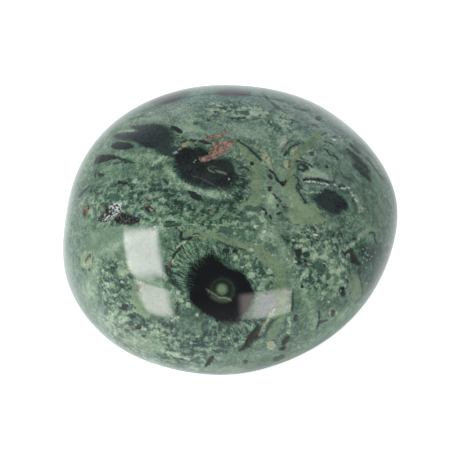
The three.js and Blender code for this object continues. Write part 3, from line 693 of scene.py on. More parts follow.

# Lighter and darker flows in the ground, which keep its grain, and a few rows of painted highlight,
# reflection and shade, each marked: name, change of lightness, how softly it ends in pixels, width, points.
shades = [
    ("pale flow under the rim", 0.35, 3, 6, [(128, 125), (138, 119.5), (150, 118), (165, 119)]),
    ("pale field right of the fork", 0.35, 4, 14, [(178, 111), (194, 114)]),
    ("pale patch by the fork", 0.3, 3, 8, [(177, 134), (186, 130), (193, 134)]),
    ("pale field at the top", 0.3, 5, 12, [(204, 110), (230, 112), (266, 116)]),
    ("pale strip by the fan", 0.35, 4, 7, [(264, 145), (276, 148), (290, 134), (300, 137)]),
    ("dark join of two eyes", -0.9, 4, 10, [(160, 150), (173, 153)]),
    ("pale band round the second eye", 0.65, 2.5, 6, [(165, 163), (169, 172), (176, 179), (185, 185.5),
     (198, 191), (212, 194.5), (224, 196)]),
    ("second pale band", 0.3, 2.5, 4, [(170, 185), (178, 193), (188, 200)]),
    ("teal under the wedge", -0.6, 2, 4, [(152, 168.5), (160, 167), (167, 163)]),
    ("field right of the left streak", 0.3, 4, 10, [(122, 153), (138, 157), (150, 158)]),
    ("dark flow on the left", -0.2, 3, 4, [(88, 167), (97, 170), (104, 176)]),
    ("pale lens", 0.7, 1.5, 4, [(134, 181), (139, 183)]),
    ("pale left rim", 0.15, 5, 12, [(104, 138), (96, 152), (91, 166)]),
    ("dark left rim", -0.35, 4, 9, [(100, 142), (98, 165), (94, 190)]),
    ("dark above the pocket", -0.3, 3, 6, [(92, 226), (101, 231)]),
    ("dark among the curds", -0.25, 4, 8, [(136, 199), (146, 203)]),
    ("pale curds at the left", 0.35, 3, 6, [(98, 199), (106, 203), (126, 197)]),
    ("pale curds over the highlight", 0.35, 3, 5, [(126, 227), (134, 224)]),
    ("pale streak among them", 0.35, 3, 4, [(140, 187), (152, 193), (163, 200)]),
    ("dark flow in the middle", -0.35, 5, 16, [(165, 193), (190, 207), (232, 211)]),
    ("dark arc under the second eye", -0.5, 2, 4.5, [(203, 200), (215, 202), (232, 202.5), (247, 200)]),
    ("shadow of the second eye", -0.7, 4, 9, [(240, 178), (243, 188), (238, 196)]),
    ("pale curds under the fork", 0.55, 4, 12, [(250, 217), (262, 222), (267, 231)]),
    ("pale field above the band", 0.35, 4, 7, [(240, 228), (252, 233), (262, 238)]),
    ("mint patch by the fork", 0.45, 2.5, 7, [(271, 196), (273, 206)]),
    ("dark patch over the band", -0.7, 2, 4.5, [(221, 230), (231, 233)]),
    ("shoulder's pale band", 0.4, 6, 9, [(97, 256), (108, 248), (124, 241)]),
    ("pale left side", 0.4, 7, 18, [(92, 262), (91, 290)]),
    ("pale ring round the large eye", 0.3, 5, 9, [(90, 290), (97, 314), (114, 333), (132, 345), (158, 357)]),
    ("dark beside the shoulder", -0.3, 4, 8, [(117, 264), (118, 278)]),
    ("pale yellow curds", 0.8, 3, 7, [(121, 273), (127, 265)]),
    ("pale curds right of the highlight", 0.4, 2, 5, [(166, 251), (170, 255)]),
    ("dark streaks there", -0.6, 2.5, 5, [(162, 238), (169, 245), (166, 259)]),
    ("dark at the foot of the needles", -0.6, 3, 6, [(167, 268), (170, 278), (178, 288)]),
    ("pale flow to the right", 0.45, 5, 10, [(262, 234), (279, 244), (290, 262), (296, 284)]),
    ("pale flow down the front", 0.45, 4, 8, [(303, 288), (308, 300), (313, 312), (314, 326)]),
    # Painted shade: darkens the band beside the right softbox's reflection.
    ("painted shade beside the right highlight", -0.1, 3, 6, [(296, 300), (297, 326)]),
    # Painted highlight: lightens the ground between the two left softboxes' reflections, for the haze of
    # their soft edges.
    ("painted haze between the highlights", 0.65, 3, 6, [(140, 279), (150, 281), (162, 285)]),
    ("beside the upper highlight", 0.25, 3, 6, [(117, 242), (119, 252), (122, 262)]),
    ("dark under the pinhole", -0.4, 5, 10, [(322, 303), (342, 304)]),
    ("pale by the low rim", 0.25, 3, 6, [(341, 316), (350, 307)]),
    ("pale curds on the right", 0.6, 3, 7, [(301, 246), (309, 250), (314, 259)]),
    ("more pale curds on the right", 0.55, 4, 9, [(326, 254), (334, 268), (335, 280)]),
    ("pale by the nose pocket", 0.35, 4, 8, [(338, 252), (343, 263), (341, 284)]),
    ("dark round the black oval", -0.5, 3, 7, [(287, 239), (297, 250), (301, 264)]),
    ("dark field by the crescents", -0.35, 4, 8, [(298, 240), (312, 236), (328, 242)]),
    ("pale field under the third eye", 0.2, 4, 8, [(326, 226), (350, 229)]),
    ("dark behind the nose band", -0.4, 4, 12, [(362, 246), (370, 256)]),
    ("dark right rim", -0.3, 6, 12, [(378, 200), (384, 235), (378, 285)]),
    ("dark beside the streak", -0.35, 4, 8, [(350, 172), (362, 186)]),
    ("mint over the slit", 0.9, 2.5, 0, [(301, 174), (305, 177), (315, 177), (322, 178), (331, 179),
     (326, 174), (320, 170), (314, 165), (309, 169), (304, 172)]),
    ("arc over the third eye", 0.5, 2, 4, [(306, 187), (320, 186), (335, 190), (348, 200), (352, 210)]),
    ("dark arc beyond it", -0.5, 1.5, 2.4, [(346, 188), (353, 196), (356, 206), (354, 215)]),
    ("dark flow behind the slit", -0.4, 4, 8, [(318, 163), (332, 172), (350, 181)]),
    ("pale flow behind it", 0.3, 3, 5, [(330, 147), (345, 160), (360, 182)]),
    ("dark flow under the crystals", -0.4, 4, 10, [(324, 146), (340, 152)]),
    ("dark field left of the lens", -0.2, 4, 10, [(266, 152), (272, 160)]),
    ("dark beside the lens", -0.6, 2, 4, [(287, 153), (293, 147), (299, 143)]),
    ("dark between the curds", -0.5, 2, 5, [(200, 123), (205, 128)]),
    ("dark arc at the top", -0.4, 2, 4, [(226, 120), (240, 121), (252, 119)]),
    ("pale arc at the top", 0.4, 2, 3.4, [(230, 114), (243, 118), (255, 114), (262, 107)]),
    ("pale crumbs of the fan", 0.65, 3, 6, [(278, 121), (287, 127)]),
    ("dark round them", -0.25, 3, 5, [(268, 116), (272, 128), (282, 133)]),
    ("dark under the highlight", -0.7, 3, 6, [(150, 317), (160, 321), (171, 326)]),
    ("dark right of it", -0.7, 3, 5, [(176, 304), (177, 312)]),
    ("smooth pale field", 0.4, 5, 10, [(130, 338), (143, 343), (158, 348)]),
    ("pale grains at the left", 0.35, 3, 6, [(109, 310), (112, 317)]),
    ("more of them", 0.6, 3, 6, [(119, 321), (127, 321)]),
    ("dark curds under them", -0.5, 3, 7, [(133, 318), (146, 322)]),
    ("dark curds along the bottom", -0.25, 5, 12, [(165, 328), (184, 334)]),
    ("pale line of the bottom", 0.6, 1.5, 3, [(163, 352), (178, 355), (190, 361)]),
    ("dark line of the bottom", -0.5, 2, 3.6, [(148, 353), (172, 359), (196, 363)]),
    # Painted reflection: these two lighten the ground along the bottom edge for the white floor's reflection
    # and bounce there.
    ("pale bottom rim with painted floor reflection", 0.27, 3, 5, [(152, 362), (175, 368), (196, 370)]),
    ("painted floor reflection on the front rim", 0.5, 4, 8, [(190, 368), (215, 371), (240, 369)]),
    ("pale patch of the bottom", 0.4, 2.5, 6, [(212, 351), (219, 357)]),
    ("dark field of the bottom", -0.45, 5, 12, [(186, 346), (204, 338), (224, 348)]),
    ("pale patch by the round hole", 0.5, 2.5, 6, [(242, 337), (245, 342)]),
    ("pale flow of the front", 0.2, 4, 8, [(240, 358), (262, 352), (300, 344)]),
    ("dark under the right highlight", -0.6, 3, 6, [(262, 320), (274, 318)]),
]

# Places where the ground leans to another hue: name, x, y, radii, what it multiplies red, green and
# blue by.
casts = [
    ("cool top", 250, 116, 90, 26, (0.98, 1.0, 1.1)),
    ("cool right", 335, 160, 46, 44, (0.98, 1.01, 1.14)),
    ("cool top rim", 225, 92, 70, 12, (0.79, 0.97, 1.0)),
    ("mossy left", 150, 190, 60, 46, (0.95, 1.01, 0.99)),
    ("mossy middle", 212, 250, 52, 46, (0.93, 1.01, 0.94)),
    ("green right rim", 382, 225, 34, 80, (0.91, 1.02, 0.99)),
    ("green low rim", 370, 268, 16, 34, (0.93, 1.04, 1.0)),
    ("green lower right", 325, 315, 40, 34, (0.93, 1.03, 0.94)),
    ("warm curds of the bottom", 140, 338, 34, 14, (1.05, 1.0, 0.96)),
    ("green under the eye", 225, 335, 40, 18, (0.93, 1.02, 0.97)),
]

# How the drawn things end: depths in pixels over which a mark, and the floor, the colour and the dull
# face of a pit, fade in, and shares of an oval's radii over which a zone and a cast fade out.
markEdge = (-0.95, 0.4)
pitEdges = dict(floor=(-0.6, 2.4), color=(-0.9, 0.5), dull=(-1.8, -0.8))
zoneEdge = (0.75, 1.2)
castEdge = (0.6, 1.4)
plainGround = (0.0, 0.5, 0.5, 0.0)      # lightness, curds, streaks and needles outside all the zones
fineLook = dict(least=0.3, more=0.7)    # how strong crumbs and dust are, and what other grain adds

# The middles of the photographed eyes, round which needles stand: name, pixel, radius in mm.
eyeMiddles = [
    ("large eye", (222.5, 291), 6.0),
    ("second eye", (205, 168), 5.0),
    ("third eye", (332, 203), 3.2),
    ("forked patch", (148, 136), 3.5),
]

# Eyes on the sides that the photograph doesn't show, invented in the same style: name, azimuth and
# elevation of the middle in degrees, radius of the black and of the olive ring round it, both in mm.
hiddenEyes = [
    ("back eye", 84, -8, 5.2, 9.5),
    ("back left eye", 138, -14, 3.4, 7.0),
    ("back right eye", 34, -22, 3.0, 6.5),
    ("left low eye", 196, -30, 2.6, 6.0),
    ("under eye", -60, -74, 5.5, 9.5),
    ("second under eye", 120, -62, 3.5, 7.5),
    ("third under eye", 10, -58, 2.2, 5.0),
]
hiddenLook = dict(
    grey=0.3,                   # how far their black is greyed
    light=0.5,                  # how light their olive is
    tone=0.15,                  # how far the ground's lightness swings there
    toneSize=12,                # mm
    toneSeed=22,
    patchSize=16,               # mm from curds to streaks
    patchSeed=21,
    patchRange=(-0.5, 0.6),
    # Waves that make their outlines uneven: share of the radius, length in mm, and a seed, to which the
    # eye's azimuth is added.
    uneven=((0.22, 9, 400), (0.1, 3.5, 500)),
    bandHalf=0.75,              # mm, half the ring's width
    bandWave=(0.45, 14, 600),   # how it swings: mm, length in mm, seed
    # In mm, how far from the ring their needles end, and how far from the black they start to thin,
    # begin and are full.
    fur=(-0.5, 0.8, -0.6, 0.2),
    furCovers=0.7,              # the share of the curds that the needles take away
)

# How the ground flows round the eyes: the mm over which two flows merge, and waves in it, each with its
# height and length in mm and a seed.
flowLook = dict(softness=2.2, waves=((0.5, 10, 31), (0.18, 4, 32)))

# The needles round the eyes.
needleLook = dict(
    pole=(0.3, 0.2, 1.0),           # square to the direction from which headings are counted
    perMm=5.3,                      # how many needles a mm of an eye's radius makes room for
    length=1.9,                     # mm
    apart=7,                        # how far the pattern of one eye is from the next one's
)


def linear(code):
    # The linear colour of an sRGB hex code.
    shares = np.array([int(code[k:k + 2], 16) for k in (1, 3, 5)]) / 255
    return np.where(shares <= 0.04045, shares / 12.92, ((shares + 0.055) / 1.055) ** 2.4)


def onStone(pixel):
    # The vertex on the photographed side that shows nearest to a pixel.
    return points[np.argmin(((calmSpots - pixel) ** 2).sum(1) + np.where(facing > 0, 0, huge))]


perMm = photo["pixelsPerMm"]
count = len(points)
hidden = 1 - seen


def patchField(patches, plainTone):
    # The greatest of the depths inside the patches, faded out on the hidden side, and the tone of the
    # patch that gives it.
    deepest = np.full(count, outside)
    tone = np.full(count, plainTone)
    for _, patchTone, width, path in patches:
        depth = depthOf(spots, width, path)
        tone[depth > deepest] = patchTone
        deepest = np.maximum(deepest, depth)
    return deepest * seen + outside * hidden, tone


def layered(rows, places):
    # Each mark's tint and cover over the ones before it: tint · (1 - cover) + cover · its own. White
    # marks only raise the cover of quartz.
    tint = np.zeros((count, 3))
    total = np.zeros(count)
    quartz = np.zeros(count)
    for kind, share, width, path, *soft in rows:
        low, high = (-soft[0], soft[0]) if soft else markEdge
        cover = share * seen * ease(low, high, depthOf(places, width, path))
        if kind == "white":
            quartz = np.maximum(quartz, cover)
            continue
        tint = tint * (1 - cover)[:, None] + cover[:, None] * linear(tints[kind])
        total = total * (1 - cover) + cover
    return tint, total, quartz


blackDepth, blackGrey = patchField(blackPatches, hiddenLook["grey"])
oliveDepth, oliveLight = patchField(olivePatches, hiddenLook["light"])
for kind, places in grains.items():
    marks += [(kind, grainCover, size, [(x, y)]) for x, y, size in places]
stainAndPaintedLightTint, stainAndPaintedLightCover, crystalCover = layered(marks, spots)
glowTint, glowCover, _ = layered(glowsAndPaintedReflection, calmSpots)
print("marks:", len(marks), "glows:", len(glowsAndPaintedReflection))

pitDepth, pitCover, dullCover, brownCover = np.zeros((4, count))
for name, width, deep, path in pits:
    inside = depthOf(spots, width, path)
    sunk, cover, dull = [ease(low, high, inside) * (facing > 0) for low, high in pitEdges.values()]
    pitDepth = np.maximum(pitDepth, deep * sunk)
    pitCover = np.maximum(pitCover, cover)
    dullCover = np.maximum(dullCover, dull)
    if name.startswith("brown"):
        brownCover = np.maximum(brownCover, cover)

# The ground mass: lightness, with some painted highlight, reflection and shade in it, curds, streaks and
# needles.
ground = np.tile(plainGround, (count, 1))
for _, x, y, radiusX, radiusY, turn, *values in zones:
    aside, down = (spots - (x, y)).T
    cosine, sine = math.cos(math.radians(turn)), math.sin(math.radians(turn))
    along = (aside * cosine + down * sine) / radiusX
    across = (down * cosine - aside * sine) / radiusY
    cover = (1 - ease(*zoneEdge, np.hypot(along, across)))[:, None]
    ground = ground * (1 - cover) + cover * np.array(values)

for _, change, blur, width, path in shades:
    ground[:, 0] += change * ease(-blur, blur, depthOf(spots, width, path))

cast = np.ones((count, 3))
for _, x, y, radiusX, radiusY, multiplier in casts:
    cover = seen * (1 - ease(*castEdge, np.hypot((spots[:, 0] - x) / radiusX, (spots[:, 1] - y) / radiusY)))
    cast *= 1 + cover[:, None] * (np.array(multiplier) - 1)

curdled = ease(*hiddenLook["patchRange"], ripple(points, hiddenLook["patchSize"], hiddenLook["patchSeed"]))
hiddenTone = hiddenLook["tone"] * ripple(points, hiddenLook["toneSize"], hiddenLook["toneSeed"])
hiddenGround = np.stack([hiddenTone, curdled, 1 - curdled, np.zeros(count)], 1)

# The distance in mm from the rim of each black patch and eye, for the flow that wraps them all.
eyeCentres = [onStone(pixel) for _, pixel, _ in eyeMiddles]
eyeReaches = [reach for _, _, reach in eyeMiddles]
flowParts = []
for _, _, _, outline in blackPatches:
    rim = np.array([onStone(pixel) for pixel in roundedLoop(outline, 1)])
    flowParts.append(np.sqrt(((points[:, None, :] - rim[None, ::2, :]) ** 2).sum(2).min(1)))
for _, azimuth, elevation, radius, ring in hiddenEyes:
    centre = points[np.argmax(directions @ directionOf(azimuth, elevation))]
    eyeCentres.append(centre)
    eyeReaches.append(radius)
    uneven = 1 + sum(share * ripple(points, size, azimuth + seed)
                     for share, size, seed in hiddenLook["uneven"])
    reach = np.linalg.norm(points - centre, axis=1) * uneven
    flowParts.append(np.abs(reach - radius))
    share, size, seed = hiddenLook["bandWave"]
    bandHalf = hiddenLook["bandHalf"] + share * ripple(points, size, azimuth + seed)
    inBlack, inRing = [
        np.clip(depth * perMm * hidden - margin * seen, -margin, margin)
        for depth in (radius - reach, bandHalf - np.abs(reach - ring))
    ]
    blackDepth = np.maximum(blackDepth, inBlack)
    oliveDepth = np.maximum(oliveDepth, inRing)
    tips, ends, roots, starts = hiddenLook["fur"]
    fur = ease(ring + tips, radius + ends, reach) * ease(radius + roots, radius + starts, reach)
    hiddenGround[:, 3] = np.maximum(hiddenGround[:, 3], fur)
    hiddenGround[:, 1] *= 1 - hiddenLook["furCovers"] * fur
    hiddenGround[:, 2] *= 1 - fur
ground = ground * seen[:, None] + hiddenGround * hidden[:, None]

# The flow is the soft minimum of those distances, a little waved.
softness = flowLook["softness"]
flow = -softness * np.log(sum(np.exp(-part / softness) for part in flowParts))
flow += sum(share * ripple(points, size, seed) for share, size, seed in flowLook["waves"])

# Round its nearest eye each corner has a heading, which is the same along one needle, and a reach.
centres = np.array(eyeCentres)
reaches = np.linalg.norm(points[:, None, :] - centres[None], axis=2)
nearest = np.argmin(reaches / np.array(eyeReaches), axis=1)
offset = points - centres[nearest]
outward = unit(centres[nearest])
side = unit(np.cross(outward, needleLook["pole"]))
along = np.cross(side, outward)
heading = np.arctan2((offset * along).sum(1), (offset * side).sum(1))
needleCount = needleLook["perMm"] * np.array(eyeReaches)[nearest]
reach = reaches[np.arange(count), nearest] / needleLook["length"] + nearest * needleLook["apart"]
spoke = np.stack([needleCount * np.cos(heading), needleCount * np.sin(heading), reach], 1)
print("ground laid out")

points = points - normals * (pitDepth + stone["inset"])[:, None]

# Where the stone stands in the frame: its outline is centred in the CAD node's, on the same floor.
low, high = (np.array(corner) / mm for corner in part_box("stone"))
middle = (low + high) / 2 - (points.min(0) + points.max(0)) / 2
middle[2] = low[2] - points[:, 2].min()
print("stone's middle:", np.round(middle, 3), "size:", np.round(np.ptp(points, axis=0), 2))


def addObject(name, data):
    # An object in the scene, with its mesh, lamp or lens.
    made = bpy.data.objects.new(name, data)
    bpy.context.scene.collection.objects.link(made)
    return made


def aim(made, across, up, back, place):
    # Turns an object to three axes, and moves it to a place in mm.
    turned = Matrix(np.stack([across, up, back], 1).tolist()).to_4x4()
    made.matrix_world = Matrix.Translation((place * mm).tolist()) @ turned


def addMesh(name, corners, faces):
    # A mesh object at the origin, from corners in mm.
    mesh = bpy.data.meshes.new(name)
    mesh.from_pydata(np.asarray(corners * mm).tolist(), [], np.asarray(faces).tolist())
    mesh.shade_smooth()
    return addObject(name, mesh)


# What each corner of the mesh keeps for its materials, which read it by name. The glows, the marks and
# the lightness carry a few painted highlights, reflections and shades as well.
fields = dict(
    black=blackDepth / perMm, olive=oliveDepth / perMm, blackGrey=blackGrey, oliveLight=oliveLight,
    stainAndPaintedLightTint=stainAndPaintedLightTint, stainAndPaintedLightCover=stainAndPaintedLightCover, glowTint=glowTint, glowCover=glowCover,
    pit=pitCover, brown=brownCover, crystal=crystalCover, cast=cast, flow=flow, spoke=spoke,
    lightness=ground[:, 0], curds=ground[:, 1], streaks=ground[:, 2], needles=ground[:, 3],
    fine=np.clip(fineLook["least"] + fineLook["more"] * ground[:, 1:].sum(1), 0, 1),
)
polishedStone = addMesh("polishedStone", points + middle, quads)
for name, values in fields.items():
    kind, target = ("FLOAT", "value") if values.ndim == 1 else ("FLOAT_VECTOR", "vector")
    kept = polishedStone.data.attributes.new(name, kind, "POINT")
    kept.data.foreach_set(target, values.astype(np.float32).ravel())
print("mesh made")


def add(tree, kind, inputs=(), output=0, **settings):
    # Adds a node with its settings, links or sets its inputs, listed in order or by name, and returns
    # one of its outputs, or the node if it has none.
    made = tree.nodes.new("ShaderNode" + kind)
    for name, value in settings.items():
        setattr(made, name, value)
    for name, value in inputs.items() if isinstance(inputs, dict) else enumerate(inputs):
        if isinstance(value, bpy.types.NodeSocket):
            tree.links.new(value, made.inputs[name])
        else:
            made.inputs[name].default_value = value
    return made.outputs[output] if len(made.outputs) else made


# Settings that many nodes share. A blend of two colours has its share at input 0 and the colours at 6
# and 7.
smooth = dict(interpolation_type="SMOOTHSTEP")
blend = dict(output=2, data_type="RGBA")


def rgba(code):
    # A hex code as a shader's colour.
    return (*linear(code), 1.0)


# Kambaba jasper, a chalcedony as hard as quartz, tumbled and buffed: it looks wet, with sharp
# reflections, and only its open pits are dull.
jasperLook = dict(
    ior=1.54,
    # Each noise: mm across, detail, roughness, and the span of it that is drawn. The dust is finer than
    # the picture shows in full.
    noises=dict(
        curd=(1.0, 4.0, 0.65, 0.42, 0.6), crumb=(0.42, 2.0, 0.6, 0.3, 0.7), dust=(0.24, 1.0, 0.5, 0.25, 0.75),
        broad=(4.5, 4.0, 0.6, 0.3, 0.7), streak=(2.6, 4.0, 0.65, 0.35, 0.65),
    ),
    swirl=(1.5, 3.0, 0.6),     # mm across, detail and roughness of what bends the curds and streaks
    swirlReach=1.3,            # mm
    streakWidth=0.42,          # mm from one streak to the next
    hair=(0.47, 0.02),         # the level of the streaks that a hair follows, and how far it reaches
    needleBend=(3.0, 3.0, 0.8),    # how far it bends the needles, across and along them
    needle=(2.2, 0.6, 0.4, 0.6),   # detail, roughness and span
    grainSize=0.95,            # mm
    grainEdge=(0.42, 0.28),    # in cells from its middle, where a grain ends and where it is full
    grainShown=(0.55, 0.8),    # which grains are pale, by a random number that each has
    peachShown=(0.9, 0.94, 0.5),   # which few are peach, and how strongly
    crystalSize=0.23,          # mm
    haloWidth=0.9,             # mm of darker ground round the black
    groundShares=[             # pattern, the field that it follows, how much it lightens
        ("curd", "curds", 0.6), ("grain", "curds", 0.3), ("streak", "streaks", 0.75),
        ("hair", "streaks", -0.35), ("needle", "needles", 0.62), ("crumb", "fine", 0.25),
        ("dust", "fine", 0.22), ("broad", None, 0.25), ("halo", None, 0.25),
    ],
    hueSwing=(0.25, 0.0, 0.45),    # how far the swirl changes red, green and blue
    # How much each pattern lightens the bands and the eyes.
    oliveShares=dict(streak=0.36, broad=0.3, curd=0.14, crumb=0.16, dust=0.17),
    blackShares=dict(crumb=0.35, dust=0.25, broad=0.4),
    ragged=(0.2, 0.3),         # mm by which curds and crumbs move the edge of a band or an eye
    oliveEdge=(-0.16, 0.24),   # mm over which it fades in
    blackEdge=(-0.22, 0.22),
    frayed=(0.03, 1.7),        # the tone over which a needle is black, and how far it reaches in mm
    speckled=0.3,              # how far crumbs and dust break the edges of a mark
    stainAndPaintedLightEdge=(0.28, 0.72),    # the covers over which a mark fades in
    mottled=dict(glow=0.3, stainAndPaintedLight=0.5),     # how far crumbs lighten and darken a tint
    leastCover=0.02,           # so that no tint is divided by nothing
    # The colours of the ground from dark to light, and the darkest and lightest of the bands and eyes.
    ramp=[(0.0, "#23332d"), (0.25, "#415649"), (0.5, "#5c7563"), (0.75, "#778f78"), (1.0, "#a0b197")],
    olive=("#3a5340", "#8fa583"),
    black=("#090c0c", "#34403f"),
    peach="#9d9079",
    grit=dict(                 # the two colours of a rough face, and the span of the specks between them
        pit=("#212524", "#585a57", 0.45, 1.0), brown=("#64524a", "#a58b7c", 0.2, 0.9),
        crystal=("#363c3c", "#c6ccc6", 0.5, 0.7),
    ),
)


def jasperMaterial(name, roughness, shine, grain):
    # Ground mass first, with some painted highlight, reflection and shade in its lightness, then the olive
    # bands, the black eyes and their glows, among them a painted reflection, the open pits, the marks, among
    # them a few painted highlights and shades, and last the brown clay and the quartz.
    look = jasperLook
    material = bpy.data.materials.new(name)
    material.use_nodes = True
    tree = material.node_tree
    tree.nodes.clear()
    here = {
        key: add(tree, "Attribute", [], "Fac" if values.ndim == 1 else "Vector", attribute_name=key)
        for key, values in fields.items()
    }

    # The patterns. Each tone runs from -0.5 to 0.5.
    place = add(tree, "TexCoord", [], "Object")
    size, detail, rough = look["swirl"]
    bend = add(tree, "TexNoise", {
        "Vector": place, "Scale": 1 / (size * mm), "Detail": detail, "Roughness": rough,
    }, "Color")
    bend = add(tree, "VectorMath", [bend, (0.5,) * 3], operation="SUBTRACT")
    bent = add(tree, "VectorMath", [bend, (look["swirlReach"] * mm,) * 3, place], operation="MULTIPLY_ADD")
    layer = add(tree, "Math", [here["flow"], look["streakWidth"]], operation="DIVIDE")
    noises = {}
    tones = {}
    for key, (size, detail, rough, low, high) in look["noises"].items():
        inputs = {"Vector": place, "Scale": 1 / (size * mm), "Detail": detail, "Roughness": rough}
        if key in ("curd", "streak"):
            inputs["Vector"] = bent
        if key == "streak":
            inputs["W"] = layer
        noises[key] = add(tree, "TexNoise", inputs, noise_dimensions="4D" if key == "streak" else "3D")
        tones[key] = add(tree, "MapRange", [noises[key], low, high, -0.5, 0.5], **smooth)
    level, reach = look["hair"]
    hair = add(tree, "Math", [noises["streak"], level], operation="SUBTRACT")
    hair = add(tree, "Math", [hair], operation="ABSOLUTE")
    tones["hair"] = add(tree, "MapRange", [hair, 0.0, reach, 1.0, 0.0])
    spokes = add(tree, "VectorMath", [bend, look["needleBend"], here["spoke"]], operation="MULTIPLY_ADD")
    detail, rough, low, high = look["needle"]
    needle = add(tree, "TexNoise", {"Vector": spokes, "Scale": 1.0, "Detail": detail, "Roughness": rough})
    tones["needle"] = add(tree, "MapRange", [needle, low, high, -0.5, 0.5], **smooth)
    cell = add(tree, "TexVoronoi", {"Vector": bent, "Scale": 1 / (look["grainSize"] * mm)})
    kinds = add(tree, "SeparateColor", [cell.node.outputs["Color"]]).node.outputs
    disc = add(tree, "MapRange", [cell, *look["grainEdge"], 0.0, 1.0], **smooth)
    shown = add(tree, "MapRange", [kinds[0], *look["grainShown"], 0.0, 1.0], **smooth)
    tones["grain"] = add(tree, "Math", [disc, shown], operation="MULTIPLY")
    halo = add(tree, "MapRange", [here["black"], -look["haloWidth"], 0.0, 0.0, 1.0], **smooth)
    clear = add(tree, "Math", [here["blackGrey"], 1.0], operation="SUBTRACT")
    tones["halo"] = add(tree, "Math", [halo, clear], operation="MULTIPLY")

    # How light the ground is, from 0 to 1, and its colour, which swings a little from place to place.
    tone = add(tree, "Math", [here["lightness"], 0.5, 0.5], operation="MULTIPLY_ADD")
    for pattern, field, share in look["groundShares"]:
        if field:
            share = add(tree, "Math", [here[field], share], operation="MULTIPLY")
        tone = add(tree, "Math", [tones[pattern], share, tone], operation="MULTIPLY_ADD")
    ramp = add(tree, "ValToRGB", [tone])
    stops = ramp.node.color_ramp.elements
    while len(stops) < len(look["ramp"]):
        stops.new(0.5)
    for stop, (position, code) in zip(stops, look["ramp"]):
        stop.position = position
        stop.color = rgba(code)
    swing = add(tree, "VectorMath", [bend, look["hueSwing"], (1.0,) * 3], operation="MULTIPLY_ADD")
    color = add(tree, "VectorMath", [ramp, here["cast"]], operation="MULTIPLY")
    color = add(tree, "VectorMath", [color, swing], operation="MULTIPLY")

    # A few peach grains, olive bands with an uneven edge, and black eyes, which needles fray.
    low, high, most = look["peachShown"]
    peach = add(tree, "MapRange", [kinds[1], low, high, 0.0, most], **smooth)
    for share in (disc, here["curds"]):
        peach = add(tree, "Math", [share, peach], operation="MULTIPLY")
    ragged = add(tree, "Math", [tones["curd"], look["ragged"][0]], operation="MULTIPLY")
    ragged = add(tree, "Math", [tones["crumb"], look["ragged"][1], ragged], operation="MULTIPLY_ADD")
    level, reach = look["frayed"]
    frayed = add(tree, "Math", [tones["needle"], level], operation="SUBTRACT")
    frayed = add(tree, "Math", [frayed, here["needles"]], operation="MULTIPLY")
    bands = {}
    for key, start in (("olive", "oliveLight"), ("black", "blackGrey")):
        edge = add(tree, "Math", [here[key], ragged], operation="ADD")
        if key == "black":
            edge = add(tree, "Math", [frayed, reach, edge], operation="MULTIPLY_ADD")
        share = add(tree, "MapRange", [edge, *look[key + "Edge"], 0.0, 1.0], **smooth)
        tone = here[start]
        for pattern, part in look[key + "Shares"].items():
            tone = add(tree, "Math", [tones[pattern], part, tone], operation="MULTIPLY_ADD")
        codes = [rgba(code) for code in look[key]]
        bands[key] = (share, add(tree, "Mix", {0: tone, 6: codes[0], 7: codes[1]}, **blend))

    # Glows in the eyes, with a painted reflection among them, and marks, granular and with broken edges, a
    # few of them painted highlight and shade. Each tint is kept times its cover.
    washes = {}
    for key, mottle in look["mottled"].items():
        thin = add(tree, "Math", [here[key + "Cover"], look["leastCover"]], operation="MAXIMUM")
        mottled = add(tree, "Math", [tones["crumb"], mottle, 1.0], operation="MULTIPLY_ADD")
        mottled = add(tree, "Math", [mottled, thin], operation="DIVIDE")
        washes[key] = add(tree, "VectorMath", {0: here[key + "Tint"], "Scale": mottled}, operation="SCALE")
    speckled = here["stainAndPaintedLightCover"]
    for pattern in ("crumb", "dust"):
        speckled = add(tree, "Math", [tones[pattern], look["speckled"], speckled], operation="MULTIPLY_ADD")
    stained = add(tree, "MapRange", [speckled, *look["stainAndPaintedLightEdge"], 0.0, 1.0], **smooth)

    # Open pits, brown clay and drusy quartz.
    speck = add(tree, "TexVoronoi", {"Vector": place, "Scale": 1 / (look["crystalSize"] * mm)}, "Color")
    speck = add(tree, "SeparateColor", [speck])
    grits = {}
    for key, (dark, light, low, high) in look["grit"].items():
        share = add(tree, "MapRange", [speck, low, high, 0.0, 1.0], **smooth)
        grit = add(tree, "Mix", {0: share, 6: rgba(dark), 7: rgba(light)}, **blend)
        grits[key] = (here[key], grit)

    for cover, over in (
        (peach, rgba(look["peach"])), bands["olive"], bands["black"], (here["glowCover"], washes["glow"]),
        grits["pit"], (stained, washes["stainAndPaintedLight"]), grits["brown"], grits["crystal"],
    ):
        color = add(tree, "Mix", {0: cover, 6: color, 7: over}, **blend)

    height = add(tree, "Math", [noises["crumb"], grain * mm], operation="MULTIPLY")
    bump = add(tree, "Bump", {"Height": height, "Strength": 1.0, "Distance": 1.0})
    shader = add(tree, "BsdfPrincipled", {
        "Base Color": color, "Roughness": roughness, "IOR": look["ior"], "Normal": bump,
        "Specular IOR Level": shine,
    })
    add(tree, "OutputMaterial", [shader])
    return material


# Roughness, shine, and the height of the grain in mm.
buffed = dict(roughness=0.06, shine=0.5, grain=0.0012)
unpolished = dict(roughness=0.9, shine=0.08, grain=0.14)
polishedStone.data.materials.append(jasperMaterial("buffed kambaba jasper", **buffed))
polishedStone.data.materials.append(jasperMaterial("unpolished jasper in the pits", **unpolished))
inPit = dullCover[quads].mean(1) > 0.5
polishedStone.data.polygons.foreach_set("material_index", inPit.astype(np.int32))
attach(polishedStone, "root")
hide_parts("stone")
print("jasper materials made")

